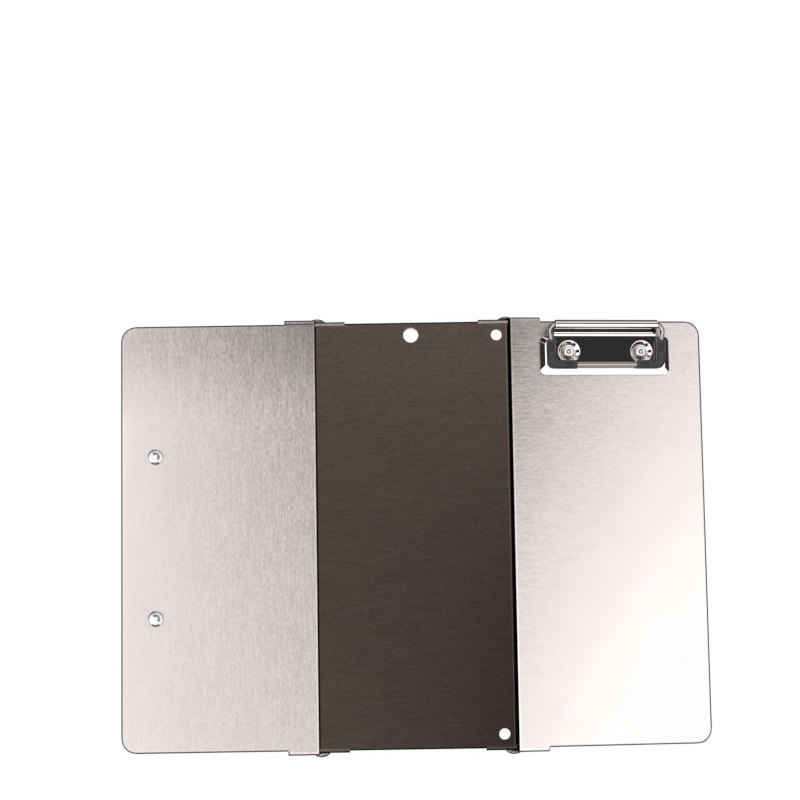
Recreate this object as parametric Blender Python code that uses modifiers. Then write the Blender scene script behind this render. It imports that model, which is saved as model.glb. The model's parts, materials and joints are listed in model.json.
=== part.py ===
"""Three-panel folding clipboard in brushed sheet steel, lying open with its outer faces up.

Three equal panels stand side by side along X. Each fold is a pair of riveted ears at the
ends of the panels: the middle panel's ears inside, the outer panel's ears outside. The
folds work downwards, the left panel first and the right panel over it. A small wire clip
sits on the right panel's outer face, and the full-size one on the left panel's inner face,
underneath. Metres, +Z up, origin on the table under the middle of the whole board.
"""

import math
from collections import namedtuple

import bmesh
import bpy
from mathutils import Matrix, Vector

MM = 0.001

# Sheet panels
PANEL_LENGTH = 240 * MM
PANEL_WIDTH = 110 * MM
SHEET = 0.8 * MM
FREE_CORNER = 8.5 * MM
FOLD_GAP = 0.3 * MM
FIT_GAP = 0.3 * MM
CAVITY = 16.4 * MM
STACK_CLEARANCE = 0.4 * MM

# Hinge ears, bent down from tabs at both ends of each fold
EAR_LENGTH = 17 * MM
EAR_SLANT = 1.2 * MM
EAR_CORNER = 2.5 * MM
EAR_ROOT = 2.6 * MM
EAR_STANDOFF = 0.4 * MM
EAR_BELOW_PIVOT = 3.8 * MM
OUTER_EAR_RISE = 2.6 * MM
EAR_NOSE = 4.6 * MM
EAR_NOSE_CORNER = 3.2 * MM
EAR_NOSE_SHARE = 0.5
EAR_RUNNING_GAP = 0.4 * MM
BEND_RADIUS = 1.6 * MM
TAB_OVERLAP = 2 * MM
PIVOT_INSET = 1 * MM

# Hinge rivets
PIVOT_SHANK = 1.7 * MM
PIVOT_HEAD = 3.8 * MM
PIVOT_HEAD_HEIGHT = 1.3 * MM
PIVOT_TAIL = 2.6 * MM
PIVOT_TAIL_HEIGHT = 0.7 * MM

# Holes in the middle panel: one to hang the board by, two for a strap's hooks
HANGING_HOLE = 4.3 * MM
HANGING_HOLE_FROM_END = 7.1 * MM
HANGING_HOLE_SHIFT = 0.4 * MM
STRAP_HOLE = 3.1 * MM
STRAP_HOLE_FROM_FOLD = 6.7 * MM
STRAP_HOLE_FROM_END = 7.8 * MM

# Wire clips, both of one kind: values that the two share
CLIP_SHEET = 0.8 * MM
CLIP_FROM_EDGE = 0.2 * MM
CLIP_PAN_CORNER = 3.2 * MM
CLIP_SIDE_SLOPE = 3.2 * MM
CLIP_FRONT_SLOPE = 3.5 * MM
CLIP_BACK_SLOPE = 2.4 * MM
CLIP_RIM_SHARES = ((0, 0), (0.62, 0.72), (0.84, 0.94), (1, 1))
CURL_TURN_SHARE = 0.8
DIMPLE_FLOOR = 3.7 * MM
NECK_SINK = 0.1 * MM
RIVET_SHANK = 1.8 * MM
RIVET_HEAD = 4.4 * MM
RIVET_HEAD_HEIGHT = 1.3 * MM
RIVET_HEAD_SHARES = ((1, 0), (0.9, 0.5), (0.67, 1), (0.5, 1), (0.25, 0.5), (0, 0.33))
RIVET_TAIL = 3.1 * MM
RIVET_TAIL_HEIGHT = 1.1 * MM
RIVET_TAIL_SHARES = ((0, 0.5), (0.33, 0.5), (0.5, 1), (0.75, 1), (1, 0.5), (1, 0))
BAIL_BEND = 3 * MM
BAIL_CORNER = 2.8 * MM
BAIL_FLARE = 1.2 * MM
SLEEVE_LEG = 14 * MM

# Small clip, on the right panel's outer face
SMALL_CLIP_SHIFT = 1 * MM
SMALL_PAN_LENGTH = 75 * MM
SMALL_PAN_BACK = 6 * MM
SMALL_PAN_FRONT = 28.2 * MM
SMALL_PAN_HEIGHT = 3 * MM
SMALL_BARREL = 2.6 * MM
SMALL_BARREL_HEIGHT = 6.6 * MM
SMALL_RIVET_SPAN = 42.1 * MM
SMALL_RIVET_REACH = 15 * MM
SMALL_DIMPLE = 6 * MM
SMALL_WIRE = 1.35 * MM
SMALL_SLEEVE = 2.6 * MM
SMALL_BAIL_INSET = 6.2 * MM
SMALL_BARREL_INSET = 1.8 * MM
SMALL_BAIL_REACH = 22.8 * MM
SMALL_WIRE_TAIL = 10 * MM
SMALL_SPRING_WIRE = 0.25 * MM
SMALL_SPRING_PITCH = 2.6 * MM

# Main clip, under the left panel; it reaches down to the table as the ears do
MAIN_PAN_LENGTH = 150 * MM
MAIN_PAN_BACK = 7.4 * MM
MAIN_PAN_FRONT = 33.5 * MM
MAIN_PAN_HEIGHT = 2.4 * MM
MAIN_BARREL = 3.3 * MM
MAIN_RIVET_SPAN = 91 * MM
MAIN_RIVET_REACH = 15.9 * MM
MAIN_DIMPLE = 5.6 * MM
MAIN_WIRE = 1.5 * MM
MAIN_SLEEVE = 2.5 * MM
MAIN_BAIL_INSET = 7 * MM
MAIN_BARREL_INSET = 2 * MM
MAIN_BAIL_REACH = 27.5 * MM
MAIN_WIRE_TAIL = 18 * MM
MAIN_SPRING_WIRE = 0.4 * MM
MAIN_SPRING_PITCH = 5 * MM

# Fineness of round shapes, and how far a cutter runs past what it cuts
CUT_OVERRUN = 1 * MM
WELD = 0.001 * MM
HOLE_SIDES = 36
BORE_SIDES = 20
TURN_STEPS = 24
ARC_STEPS = 5
BARREL_STEPS = 20
WIRE_FINENESS = 4
SPRING_STEPS = 7
SPRING_FINENESS = 1
SMOOTH_ANGLE = math.radians(30)

# Levels and places worked out from those sizes
MIDDLE_EDGE = PANEL_WIDTH / 2
OUTER_EDGE = MIDDLE_EDGE + FOLD_GAP
FREE_EDGE = OUTER_EDGE + PANEL_WIDTH
STACK_STEP = (SHEET + RIVET_HEAD_HEIGHT + FIT_GAP + STACK_CLEARANCE) / 2
LEFT_PIVOT_DEPTH = SHEET + CAVITY / 2
RIGHT_PIVOT_DEPTH = LEFT_PIVOT_DEPTH + STACK_STEP
EAR_DEPTH = RIGHT_PIVOT_DEPTH + EAR_BELOW_PIVOT
TOP = EAR_DEPTH
INNER_EAR_FACE = PANEL_LENGTH / 2 + EAR_STANDOFF + SHEET
OUTER_EAR_FACE = INNER_EAR_FACE + EAR_RUNNING_GAP + SHEET
PIVOT_X = MIDDLE_EDGE - PIVOT_INSET
MAIN_BARREL_HEIGHT = EAR_DEPTH - SHEET - MAIN_BARREL
SMALL_BAIL_SPAN = SMALL_PAN_LENGTH - 2 * SMALL_BAIL_INSET
SMALL_BARREL_LENGTH = SMALL_BAIL_SPAN - 2 * SMALL_BARREL_INSET
MAIN_BAIL_SPAN = MAIN_PAN_LENGTH - 2 * MAIN_BAIL_INSET
MAIN_BARREL_LENGTH = MAIN_BAIL_SPAN - 2 * MAIN_BARREL_INSET

# The right panel droops until its free edge meets the table
PANEL_REACH = FREE_EDGE - PIVOT_X
UNDERSIDE = RIGHT_PIVOT_DEPTH - SHEET
DROOP = math.atan2(UNDERSIDE, PANEL_REACH) + math.asin(
    EAR_BELOW_PIVOT / math.hypot(UNDERSIDE, PANEL_REACH)
)
DROOPED_EDGE = PIVOT_X + PANEL_REACH * math.cos(DROOP) + RIGHT_PIVOT_DEPTH * math.sin(DROOP)
BOARD_SHIFT = (FREE_EDGE - DROOPED_EDGE) / 2

Clip = namedtuple(
    "Clip",
    "name ends pan_length pan_back pan_front pan_height barrel_length barrel barrel_height "
    "rivet_span rivet_reach dimple wire sleeve bail_span bail_reach wire_tail spring_wire "
    "spring_pitch",
)

SMALL_CLIP = Clip(
    "small_clip",
    ("right", "left"),
    SMALL_PAN_LENGTH,
    SMALL_PAN_BACK,
    SMALL_PAN_FRONT,
    SMALL_PAN_HEIGHT,
    SMALL_BARREL_LENGTH,
    SMALL_BARREL,
    SMALL_BARREL_HEIGHT,
    SMALL_RIVET_SPAN,
    SMALL_RIVET_REACH,
    SMALL_DIMPLE,
    SMALL_WIRE,
    SMALL_SLEEVE,
    SMALL_BAIL_SPAN,
    SMALL_BAIL_REACH,
    SMALL_WIRE_TAIL,
    SMALL_SPRING_WIRE,
    SMALL_SPRING_PITCH,
)

MAIN_CLIP = Clip(
    "main_clip",
    ("bottom", "top"),
    MAIN_PAN_LENGTH,
    MAIN_PAN_BACK,
    MAIN_PAN_FRONT,
    MAIN_PAN_HEIGHT,
    MAIN_BARREL_LENGTH,
    MAIN_BARREL,
    MAIN_BARREL_HEIGHT,
    MAIN_RIVET_SPAN,
    MAIN_RIVET_REACH,
    MAIN_DIMPLE,
    MAIN_WIRE,
    MAIN_SLEEVE,
    MAIN_BAIL_SPAN,
    MAIN_BAIL_REACH,
    MAIN_WIRE_TAIL,
    MAIN_SPRING_WIRE,
    MAIN_SPRING_PITCH,
)


def clear_scene():
    for obj in list(bpy.data.objects):
        bpy.data.objects.remove(obj)


def new_collection(name):
    collection = bpy.data.collections.new(name)
    bpy.context.scene.collection.children.link(collection)
    return collection


clear_scene()
PARTS = new_collection("storage_clipboard")
CUTTERS = new_collection("cutters")


def make_material(name, colour, metallic, roughness):
    material = bpy.data.materials.new(name)
    material.use_nodes = True
    shader = material.node_tree.nodes["Principled BSDF"]
    shader.inputs["Base Color"].default_value = (*colour, 1)
    shader.inputs["Metallic"].default_value = metallic
    shader.inputs["Roughness"].default_value = roughness
    return material


BRUSHED_STEEL = make_material("brushed_steel", (0.62, 0.59, 0.57), 1, 0.32)
CHROME = make_material("chrome", (0.86, 0.86, 0.87), 1, 0.06)
RUBBER = make_material("black_rubber", (0.025, 0.025, 0.028), 0, 0.55)


# Points of outlines and paths


def filleted(corners, closed):
    """Corners, each a point and its fillet radius, as a polyline with an arc at each fillet."""
    path = []
    count = len(corners)
    for index, (corner, radius) in enumerate(corners):
        corner = Vector(corner)
        at_end = not closed and index in (0, count - 1)
        if at_end or not radius:
            path.append(corner)
            continue
        back = (Vector(corners[index - 1][0]) - corner).normalized()
        ahead = (Vector(corners[(index + 1) % count][0]) - corner).normalized()
        half_angle = back.angle(ahead) / 2
        centre = corner + (back + ahead).normalized() * radius / math.sin(half_angle)
        first = corner + back * radius / math.tan(half_angle) - centre
        last = corner + ahead * radius / math.tan(half_angle) - centre
        for step in range(ARC_STEPS + 1):
            turned_by = (math.pi / 2 - half_angle) * (2 * step / ARC_STEPS - 1)
            middle = (first + last).normalized()
            across = (last - first).normalized()
            arm = middle * math.cos(turned_by) + across * math.sin(turned_by)
            path.append(centre + arm * radius)
    return path


def circle(x, y, radius, sides=HOLE_SIDES):
    angles = [2 * math.pi * side / sides for side in range(sides)]
    return [(x + radius * math.cos(a), y + radius * math.sin(a)) for a in angles]


def rounded_rectangle(x_low, x_high, y_low, y_high, radius):
    corners = ((x_low, y_low), (x_high, y_low), (x_high, y_high), (x_low, y_high))
    return filleted([(corner, radius) for corner in corners], closed=True)


def arc_about(centre, radius, start, turn, steps):
    """Points of an arc in a plane, with its start and its turn in radians."""
    angles = [start + turn * step / steps for step in range(steps + 1)]
    return [centre + radius * Vector((math.cos(a), math.sin(a))) for a in angles]


def strip_outline(path, thickness):
    """Closed outline of a strip that follows a path in a plane, half its thickness each side."""
    sides = ([], [])
    for index, point in enumerate(path):
        along = (path[min(index + 1, len(path) - 1)] - path[max(index - 1, 0)]).normalized()
        across = Vector((-along.y, along.x)) * thickness / 2
        sides[0].append(point + across)
        sides[1].append(point - across)
    return sides[0] + sides[1][::-1]


# Solids


def add_object(name, mesh, collection=PARTS):
    obj = bpy.data.objects.new(name, mesh)
    collection.objects.link(obj)
    return obj


def welded(mesh):
    """Merges a curve's loose caps with its sides, and turns every face outwards."""
    cage = bmesh.new()
    cage.from_mesh(mesh)
    bmesh.ops.remove_doubles(cage, verts=cage.verts, dist=WELD)
    bmesh.ops.recalc_face_normals(cage, faces=cage.faces)
    cage.to_mesh(mesh)
    cage.free()
    return mesh


def mesh_of_curve(name, curve):
    """The curve's evaluated shape as a closed mesh."""
    guide = add_object(name + "_guide", curve)
    graph = bpy.context.evaluated_depsgraph_get()
    mesh = welded(bpy.data.meshes.new_from_object(guide.evaluated_get(graph)))
    mesh.name = name
    bpy.data.objects.remove(guide)
    bpy.data.curves.remove(curve)
    return mesh


def plate_mesh(name, outlines, thickness):
    """A flat plate on the XY plane, with its holes among the outlines."""
    curve = bpy.data.curves.new(name, "CURVE")
    curve.dimensions = "2D"
    curve.fill_mode = "BOTH"
    curve.extrude = thickness / 2
    for outline in outlines:
        spline = curve.splines.new("POLY")
        spline.points.add(len(outline) - 1)
        for point, (x, y) in zip(spline.points, outline):
            point.co = (x, y, 0, 1)
        spline.use_cyclic_u = True
    return mesh_of_curve(name, curve)


def tube_mesh(name, path, radius, fineness):
    """A round wire along a path, with its ends closed."""
    curve = bpy.data.curves.new(name, "CURVE")
    curve.dimensions = "3D"
    curve.bevel_depth = radius
    curve.bevel_resolution = fineness
    curve.use_fill_caps = True
    spline = curve.splines.new("POLY")
    spline.points.add(len(path) - 1)
    for point, place in zip(spline.points, path):
        point.co = (*place, 1)
    return mesh_of_curve(name, curve)


def cylinder_mesh(name, radius, length, sides=BORE_SIDES):
    mesh = bpy.data.meshes.new(name)
    cage = bmesh.new()
    bmesh.ops.create_cone(
        cage, cap_ends=True, segments=sides, radius1=radius, radius2=radius, depth=length
    )
    cage.to_mesh(mesh)
    cage.free()
    return mesh


def turned(name, profile, collection=PARTS):
    """A profile of radius and height, top to bottom down its outer side, turned about Z."""
    mesh = bpy.data.meshes.new(name)
    edges = [(index, index + 1) for index in range(len(profile) - 1)]
    mesh.from_pydata([(radius, 0, height) for radius, height in profile], edges, [])
    obj = add_object(name, mesh, collection)
    screw = obj.modifiers.new("Turn", "SCREW")
    screw.steps = TURN_STEPS
    screw.render_steps = TURN_STEPS
    screw.use_merge_vertices = True
    screw.merge_threshold = WELD
    return obj


def combine(obj, operation, other):
    """Adds a Boolean, and sets the other object aside as its cutter or its added form."""
    other.hide_render = True
    other.display_type = "WIRE"
    boolean = obj.modifiers.new(operation.title(), "BOOLEAN")
    boolean.operation = operation
    boolean.object = other


def hang(obj, parent, at=Vector((0, 0, 0))):
    """Parents an object whose shape is drawn in the frame in which its parent stands at a place."""
    obj.parent = parent
    obj.matrix_parent_inverse = Matrix.Translation(-Vector(at))


def add_empty(name, parent, at):
    empty = bpy.data.objects.new(name, None)
    PARTS.objects.link(empty)
    empty.parent = parent
    empty.location = at
    return empty


def finish(obj, material, smooth=False):
    obj.data.materials.append(material)
    if smooth:
        obj.data.shade_smooth()
        obj.data.set_sharp_from_angle(angle=SMOOTH_ANGLE)
    return obj


ALONG_X = Matrix(((0, 0, 1, 0), (1, 0, 0, 0), (0, 1, 0, 0), (0, 0, 0, 1)))
ALONG_Y = Matrix.Rotation(math.pi / 2, 4, "X")


# Panels and their ears


def ear_outline(fold_edge, inward, pivot_depth, pivot_from_edge, rise):
    """An ear seen from the end of the board, as points of X and Z. It runs along the fold's
    end of its panel, slants in at its far end, and its nose goes round the pivot."""
    nose = pivot_from_edge - EAR_NOSE
    shoulder = pivot_depth - EAR_NOSE * EAR_NOSE_SHARE
    corners = (
        (0, -CUT_OVERRUN, 0),
        (EAR_LENGTH, -CUT_OVERRUN, 0),
        (EAR_LENGTH, BEND_RADIUS, 0),
        (EAR_LENGTH - EAR_SLANT, EAR_DEPTH - rise, EAR_CORNER),
        (nose, EAR_DEPTH, EAR_NOSE_CORNER),
        (nose, shoulder, EAR_NOSE_CORNER),
        (0, EAR_ROOT, 0),
    )
    placed = [((fold_edge + inward * u, TOP - w), radius) for u, w, radius in corners]
    return filleted(placed, closed=True)


def bent_strip(name, outer_face, end, x_low, x_high):
    """The sheet's section through a tab and its bend, from inside the panel down past the
    table, as a bar along X."""
    inner_bend = BEND_RADIUS - SHEET
    bend_y = outer_face - BEND_RADIUS
    bend_z = TOP - BEND_RADIUS
    centre = Vector((bend_y, bend_z))
    start = PANEL_LENGTH / 2 - TAB_OVERLAP
    section = [Vector((start, TOP))]
    section += arc_about(centre, BEND_RADIUS, math.pi / 2, -math.pi / 2, ARC_STEPS)
    section += [Vector((outer_face, -CUT_OVERRUN)), Vector((outer_face - SHEET, -CUT_OVERRUN))]
    section += arc_about(centre, inner_bend, 0, math.pi / 2, ARC_STEPS)
    section += [Vector((start, TOP - SHEET))]
    mesh = plate_mesh(name, [[(end * y, z) for y, z in section]], x_high - x_low)
    mesh.transform(Matrix.Translation(((x_low + x_high) / 2, 0, 0)) @ ALONG_X)
    return add_object(name, mesh, CUTTERS)


def make_ear(name, fold_edge, inward, end, outer_face, pivot_depth, pivot_from_edge, rise):
    """One ear: the bent strip, kept only inside the ear's outline."""
    outline = ear_outline(fold_edge, inward, pivot_depth, pivot_from_edge, rise)
    x_low = min(point.x for point in outline) - CUT_OVERRUN
    x_high = max(point.x for point in outline) + CUT_OVERRUN
    ear = bent_strip(name, outer_face, end, x_low, x_high)
    mesh = plate_mesh(name + "_outline", [outline], PANEL_LENGTH)
    mesh.transform(Matrix.Translation((0, end * PANEL_LENGTH, 0)) @ ALONG_Y)
    combine(ear, "INTERSECT", add_object(name + "_outline", mesh, CUTTERS))
    return ear


def pivot_hole(name, x, pivot_depth):
    mesh = cylinder_mesh(name, PIVOT_SHANK + FIT_GAP, 2 * OUTER_EAR_FACE + CUT_OVERRUN)
    mesh.transform(Matrix.Translation((x, 0, TOP - pivot_depth)) @ ALONG_Y)
    return add_object(name, mesh, CUTTERS)


def make_panel(name, outlines, ears, pivots, parent, at=Vector((0, 0, 0))):
    """A panel with its ears joined on and its pivot holes drilled, hung on its parent."""
    mesh = plate_mesh(name, outlines, SHEET)
    mesh.transform(Matrix.Translation((0, 0, TOP - SHEET / 2)))
    panel = add_object(name, mesh)
    hang(panel, parent, at)
    for ear in ears:
        combine(panel, "UNION", ear)
        outline = ear.modifiers["Intersect"].object
        hang(ear, parent, at)
        hang(outline, parent, at)
    for pivot in pivots:
        combine(panel, "DIFFERENCE", pivot)
        hang(pivot, parent, at)
    return finish(panel, BRUSHED_STEEL)


def middle_holes():
    strap_x = MIDDLE_EDGE - STRAP_HOLE_FROM_FOLD
    strap_y = PANEL_LENGTH / 2 - STRAP_HOLE_FROM_END
    hanging_y = PANEL_LENGTH / 2 - HANGING_HOLE_FROM_END
    return [
        circle(-HANGING_HOLE_SHIFT, hanging_y, HANGING_HOLE),
        circle(strap_x, strap_y, STRAP_HOLE),
        circle(strap_x, -strap_y, STRAP_HOLE),
    ]


def make_middle_panel(board):
    half = PANEL_LENGTH / 2
    outline = rounded_rectangle(-MIDDLE_EDGE, MIDDLE_EDGE, -half, half, 0)
    ears = []
    for side, depth in ((-1, LEFT_PIVOT_DEPTH), (1, RIGHT_PIVOT_DEPTH)):
        for end in (-1, 1):
            name = f"middle_ear_{side}_{end}"
            edge = side * MIDDLE_EDGE
            ears.append(make_ear(name, edge, -side, end, INNER_EAR_FACE, depth, PIVOT_INSET, 0))
    pivots = [
        pivot_hole("middle_left_pivot", -PIVOT_X, LEFT_PIVOT_DEPTH),
        pivot_hole("middle_right_pivot", PIVOT_X, RIGHT_PIVOT_DEPTH),
    ]
    return make_panel("middle_panel", [outline] + middle_holes(), ears, pivots, board)


def make_outer_panel(name, side, pivot_depth, rivet_places, axis, at):
    """The left panel has side -1 and the right one +1; both are drawn flat."""
    half = PANEL_LENGTH / 2
    corners = (
        ((side * OUTER_EDGE, -half), 0),
        ((side * FREE_EDGE, -half), FREE_CORNER),
        ((side * FREE_EDGE, half), FREE_CORNER),
        ((side * OUTER_EDGE, half), 0),
    )
    outlines = [filleted(corners, closed=True)]
    outlines += [circle(x, y, RIVET_SHANK + FIT_GAP, BORE_SIDES) for x, y in rivet_places]
    from_edge = -(PIVOT_INSET + FOLD_GAP)
    edge = side * OUTER_EDGE
    ears = []
    for end in (-1, 1):
        ear_name = f"{name}_ear_{end}"
        ears.append(
            make_ear(
                ear_name, edge, side, end, OUTER_EAR_FACE, pivot_depth, from_edge, OUTER_EAR_RISE
            )
        )
    pivots = [pivot_hole(f"{name}_pivot", side * PIVOT_X, pivot_depth)]
    return make_panel(name, outlines, ears, pivots, axis, at)


def make_hinge_rivet(name, x, pivot_depth, end, board):
    """Domed head outside the outer ear, shank through both ears, flat tail inside."""
    head_base = OUTER_EAR_FACE + FIT_GAP
    tail_base = INNER_EAR_FACE - SHEET - FIT_GAP
    dome = [
        (
            PIVOT_HEAD * math.sin(math.pi / 2 * step / ARC_STEPS),
            head_base + PIVOT_HEAD_HEIGHT * math.cos(math.pi / 2 * step / ARC_STEPS),
        )
        for step in range(ARC_STEPS + 1)
    ]
    profile = dome + [
        (PIVOT_SHANK, head_base),
        (PIVOT_SHANK, tail_base),
        (PIVOT_TAIL, tail_base),
        (PIVOT_TAIL, tail_base - PIVOT_TAIL_HEIGHT),
        (0, tail_base - PIVOT_TAIL_HEIGHT),
    ]
    rivet = turned(name, profile)
    rivet.parent = board
    rivet.location = (x, 0, TOP - pivot_depth)
    rivet.rotation_euler = (-end * math.pi / 2, 0, 0)
    return finish(rivet, BRUSHED_STEEL, smooth=True)


# Wire clips. A clip is drawn with its barrel along X, straight above its seat's origin, its
# bail reaching out along +Y, and the panel's face at Z = 0.


def dimple_levels(clip):
    """Heights of the upper face of a dimple's floor and of the pan's flat."""
    return FIT_GAP + CLIP_SHEET, clip.pan_height


def pan_mesh(clip):
    """The pan's upper surface: a flat with sloping rims, whose cut edge stands on the panel."""
    lip = FIT_GAP + CLIP_SHEET
    mesh = bpy.data.meshes.new(clip.name + "_plate")
    cage = bmesh.new()
    rings = []
    for inset, rise in CLIP_RIM_SHARES:
        side = clip.pan_length / 2 - inset * CLIP_SIDE_SLOPE
        back = clip.pan_back + inset * CLIP_BACK_SLOPE
        front = clip.pan_front - inset * CLIP_FRONT_SLOPE
        height = lip + rise * (clip.pan_height - lip)
        outline = rounded_rectangle(-side, side, back, front, CLIP_PAN_CORNER)
        rings.append([cage.verts.new((x, y, height)) for x, y in outline])
    for lower, upper in zip(rings, rings[1:]):
        for index in range(len(lower)):
            after = (index + 1) % len(lower)
            cage.faces.new((lower[index], lower[after], upper[after], upper[index]))
    cage.faces.new(rings[-1])
    cage.to_mesh(mesh)
    cage.free()
    return mesh


def neck_mesh(clip):
    """The strip that rises from the pan's flat and curls round into the barrel. Its foot is
    sunk a little in the pan's sheet, so that the two have no surface in common."""
    curl = clip.barrel - CLIP_SHEET / 2
    axis = Vector((0, clip.barrel_height))
    flat_level = clip.pan_height - CLIP_SHEET / 2 - NECK_SINK
    rise = clip.barrel_height - flat_level
    foot = Vector((curl + rise, clip.barrel_height))
    flat_end = clip.pan_back + CLIP_BACK_SLOPE + CLIP_SHEET
    curl_turn = 2 * math.pi * CURL_TURN_SHARE
    path = arc_about(axis, curl, curl_turn, -curl_turn, BARREL_STEPS)
    path += arc_about(foot, rise, math.pi, math.pi / 2, ARC_STEPS)[1:]
    path.append(Vector((max(flat_end, foot.x + CLIP_SHEET), flat_level)))
    mesh = plate_mesh(clip.name + "_neck", [strip_outline(path, CLIP_SHEET)], clip.barrel_length)
    mesh.transform(ALONG_X)
    return mesh


def make_dimple(clip, plate, x, seat):
    """A conical dimple: a boss joined on under the pan, then a recess and a bore cut into it."""
    floor, flat = dimple_levels(clip)
    spread = (clip.dimple - DIMPLE_FLOOR) / (flat - floor)
    bore = RIVET_SHANK + FIT_GAP
    mid_sheet = CLIP_SHEET / 2
    above = flat + CUT_OVERRUN
    below = floor - CLIP_SHEET - CUT_OVERRUN
    boss = [
        (0, flat - mid_sheet),
        (clip.dimple + mid_sheet * spread, flat - mid_sheet),
        (DIMPLE_FLOOR, floor - CLIP_SHEET),
        (0, floor - CLIP_SHEET),
    ]
    recess = [
        (0, above),
        (clip.dimple + CUT_OVERRUN * spread, above),
        (DIMPLE_FLOOR, floor),
        (bore, floor),
        (bore, below),
        (0, below),
    ]
    for name, operation, profile in (("boss", "UNION", boss), ("recess", "DIFFERENCE", recess)):
        form = turned(f"{clip.name}_{name}", profile, CUTTERS)
        form.parent = seat
        form.location = (x, clip.rivet_reach, 0)
        combine(plate, operation, form)


def make_clip_plate(clip, seat):
    plate = add_object(clip.name + "_plate", pan_mesh(clip))
    plate.parent = seat
    shell = plate.modifiers.new("Sheet", "SOLIDIFY")
    shell.thickness = CLIP_SHEET
    shell.offset = -1
    shell.use_even_offset = True
    neck = add_object(clip.name + "_neck", neck_mesh(clip), CUTTERS)
    neck.parent = seat
    combine(plate, "UNION", neck)
    for side in (-1, 1):
        make_dimple(clip, plate, side * clip.rivet_span / 2, seat)
    return finish(plate, CHROME, smooth=True)


def make_clip_rivet(clip, name, x, seat):
    """Formed tail in the dimple, shank through plate and panel, broad dished head behind."""
    floor, _ = dimple_levels(clip)
    tail = floor + FIT_GAP
    behind = -SHEET - FIT_GAP
    profile = [(RIVET_TAIL * u, tail + RIVET_TAIL_HEIGHT * v) for u, v in RIVET_TAIL_SHARES]
    profile += [(RIVET_SHANK, tail), (RIVET_SHANK, behind)]
    profile += [(RIVET_HEAD * u, behind - RIVET_HEAD_HEIGHT * v) for u, v in RIVET_HEAD_SHARES]
    rivet = turned(name, profile)
    rivet.parent = seat
    rivet.location = (x, clip.rivet_reach, 0)
    return finish(rivet, CHROME, smooth=True)


def bail_level(clip):
    """Height of the bail's front bar, where its sleeves lie on the pan."""
    return clip.pan_height + FIT_GAP + clip.sleeve


def bail_corners(clip, side):
    """Where the wire's line leaves the barrel at one end, and where it turns into the bar. The
    arms come out a little wider than the bar."""
    arm = clip.bail_span / 2
    root = Vector((side * (arm + BAIL_FLARE), 0, clip.barrel_height))
    return root, Vector((side * arm, clip.bail_reach, bail_level(clip)))


def make_bail(clip, axis):
    """One wire: a tail in each end of the barrel, two arms and the front bar."""
    tail = clip.barrel_length / 2 - clip.wire_tail
    near_root, near_corner = bail_corners(clip, -1)
    far_root, far_corner = bail_corners(clip, 1)
    corners = [
        ((-tail, 0, clip.barrel_height), 0),
        (near_root, BAIL_BEND),
        (near_corner, BAIL_CORNER),
        (far_corner, BAIL_CORNER),
        (far_root, BAIL_BEND),
        ((tail, 0, clip.barrel_height), 0),
    ]
    path = filleted(corners, closed=False)
    mesh = tube_mesh(clip.name + "_bail", path, clip.wire, WIRE_FINENESS)
    bail = add_object(clip.name + "_bail", mesh)
    hang(bail, axis, (0, 0, clip.barrel_height))
    return finish(bail, CHROME, smooth=True)


def make_sleeve(clip, name, side, axis):
    """Rubber corner sleeve: an L-shaped tube bored to pass over the wire."""
    root, corner = bail_corners(clip, side)
    up_arm = (root - corner).normalized()
    along_bar = Vector((-side, 0, 0))

    def leg_path(length):
        ends = (corner + up_arm * length, corner, corner + along_bar * length)
        return filleted([(ends[0], 0), (ends[1], BAIL_CORNER), (ends[2], 0)], closed=False)

    def leg_tube(tube_name, length, radius, collection):
        mesh = tube_mesh(tube_name, leg_path(length), radius, WIRE_FINENESS)
        return add_object(tube_name, mesh, collection)

    sleeve = leg_tube(name, SLEEVE_LEG, clip.sleeve, PARTS)
    bore = leg_tube(name + "_bore", SLEEVE_LEG + CUT_OVERRUN, clip.wire + FIT_GAP, CUTTERS)
    combine(sleeve, "DIFFERENCE", bore)
    for obj in (sleeve, bore):
        hang(obj, axis, (0, 0, clip.barrel_height))
    return finish(sleeve, RUBBER, smooth=True)


def make_spring(clip, seat):
    """Torsion spring inside the barrel, between the ends of the bail's two tails."""
    radius = clip.barrel - CLIP_SHEET - FIT_GAP - clip.spring_wire
    half = clip.barrel_length / 2 - clip.wire_tail - FIT_GAP - clip.spring_wire
    turns = int(2 * half / clip.spring_pitch)
    steps = turns * SPRING_STEPS
    path = []
    for step in range(steps + 1):
        angle = 2 * math.pi * step / SPRING_STEPS
        x = -half + 2 * half * step / steps
        path.append((x, radius * math.cos(angle), clip.barrel_height + radius * math.sin(angle)))
    name = clip.name + "_spring"
    spring = add_object(name, tube_mesh(name, path, clip.spring_wire, SPRING_FINENESS))
    spring.parent = seat
    return finish(spring, BRUSHED_STEEL, smooth=True)


def make_clip(clip, seat):
    make_clip_plate(clip, seat)
    make_spring(clip, seat)
    axis = add_empty(clip.name + "_bail_axis", seat, (0, 0, clip.barrel_height))
    make_bail(clip, axis)
    for side, end_name in zip((-1, 1), clip.ends):
        make_clip_rivet(clip, f"{clip.name}_rivet_{end_name}", side * clip.rivet_span / 2, seat)
        make_sleeve(clip, f"{clip.name}_sleeve_{end_name}", side, axis)


def clip_axis_from_edge(clip):
    return CLIP_FROM_EDGE + clip.barrel


def rivet_from_edge(clip):
    return clip_axis_from_edge(clip) + clip.rivet_reach


# The whole board


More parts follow.
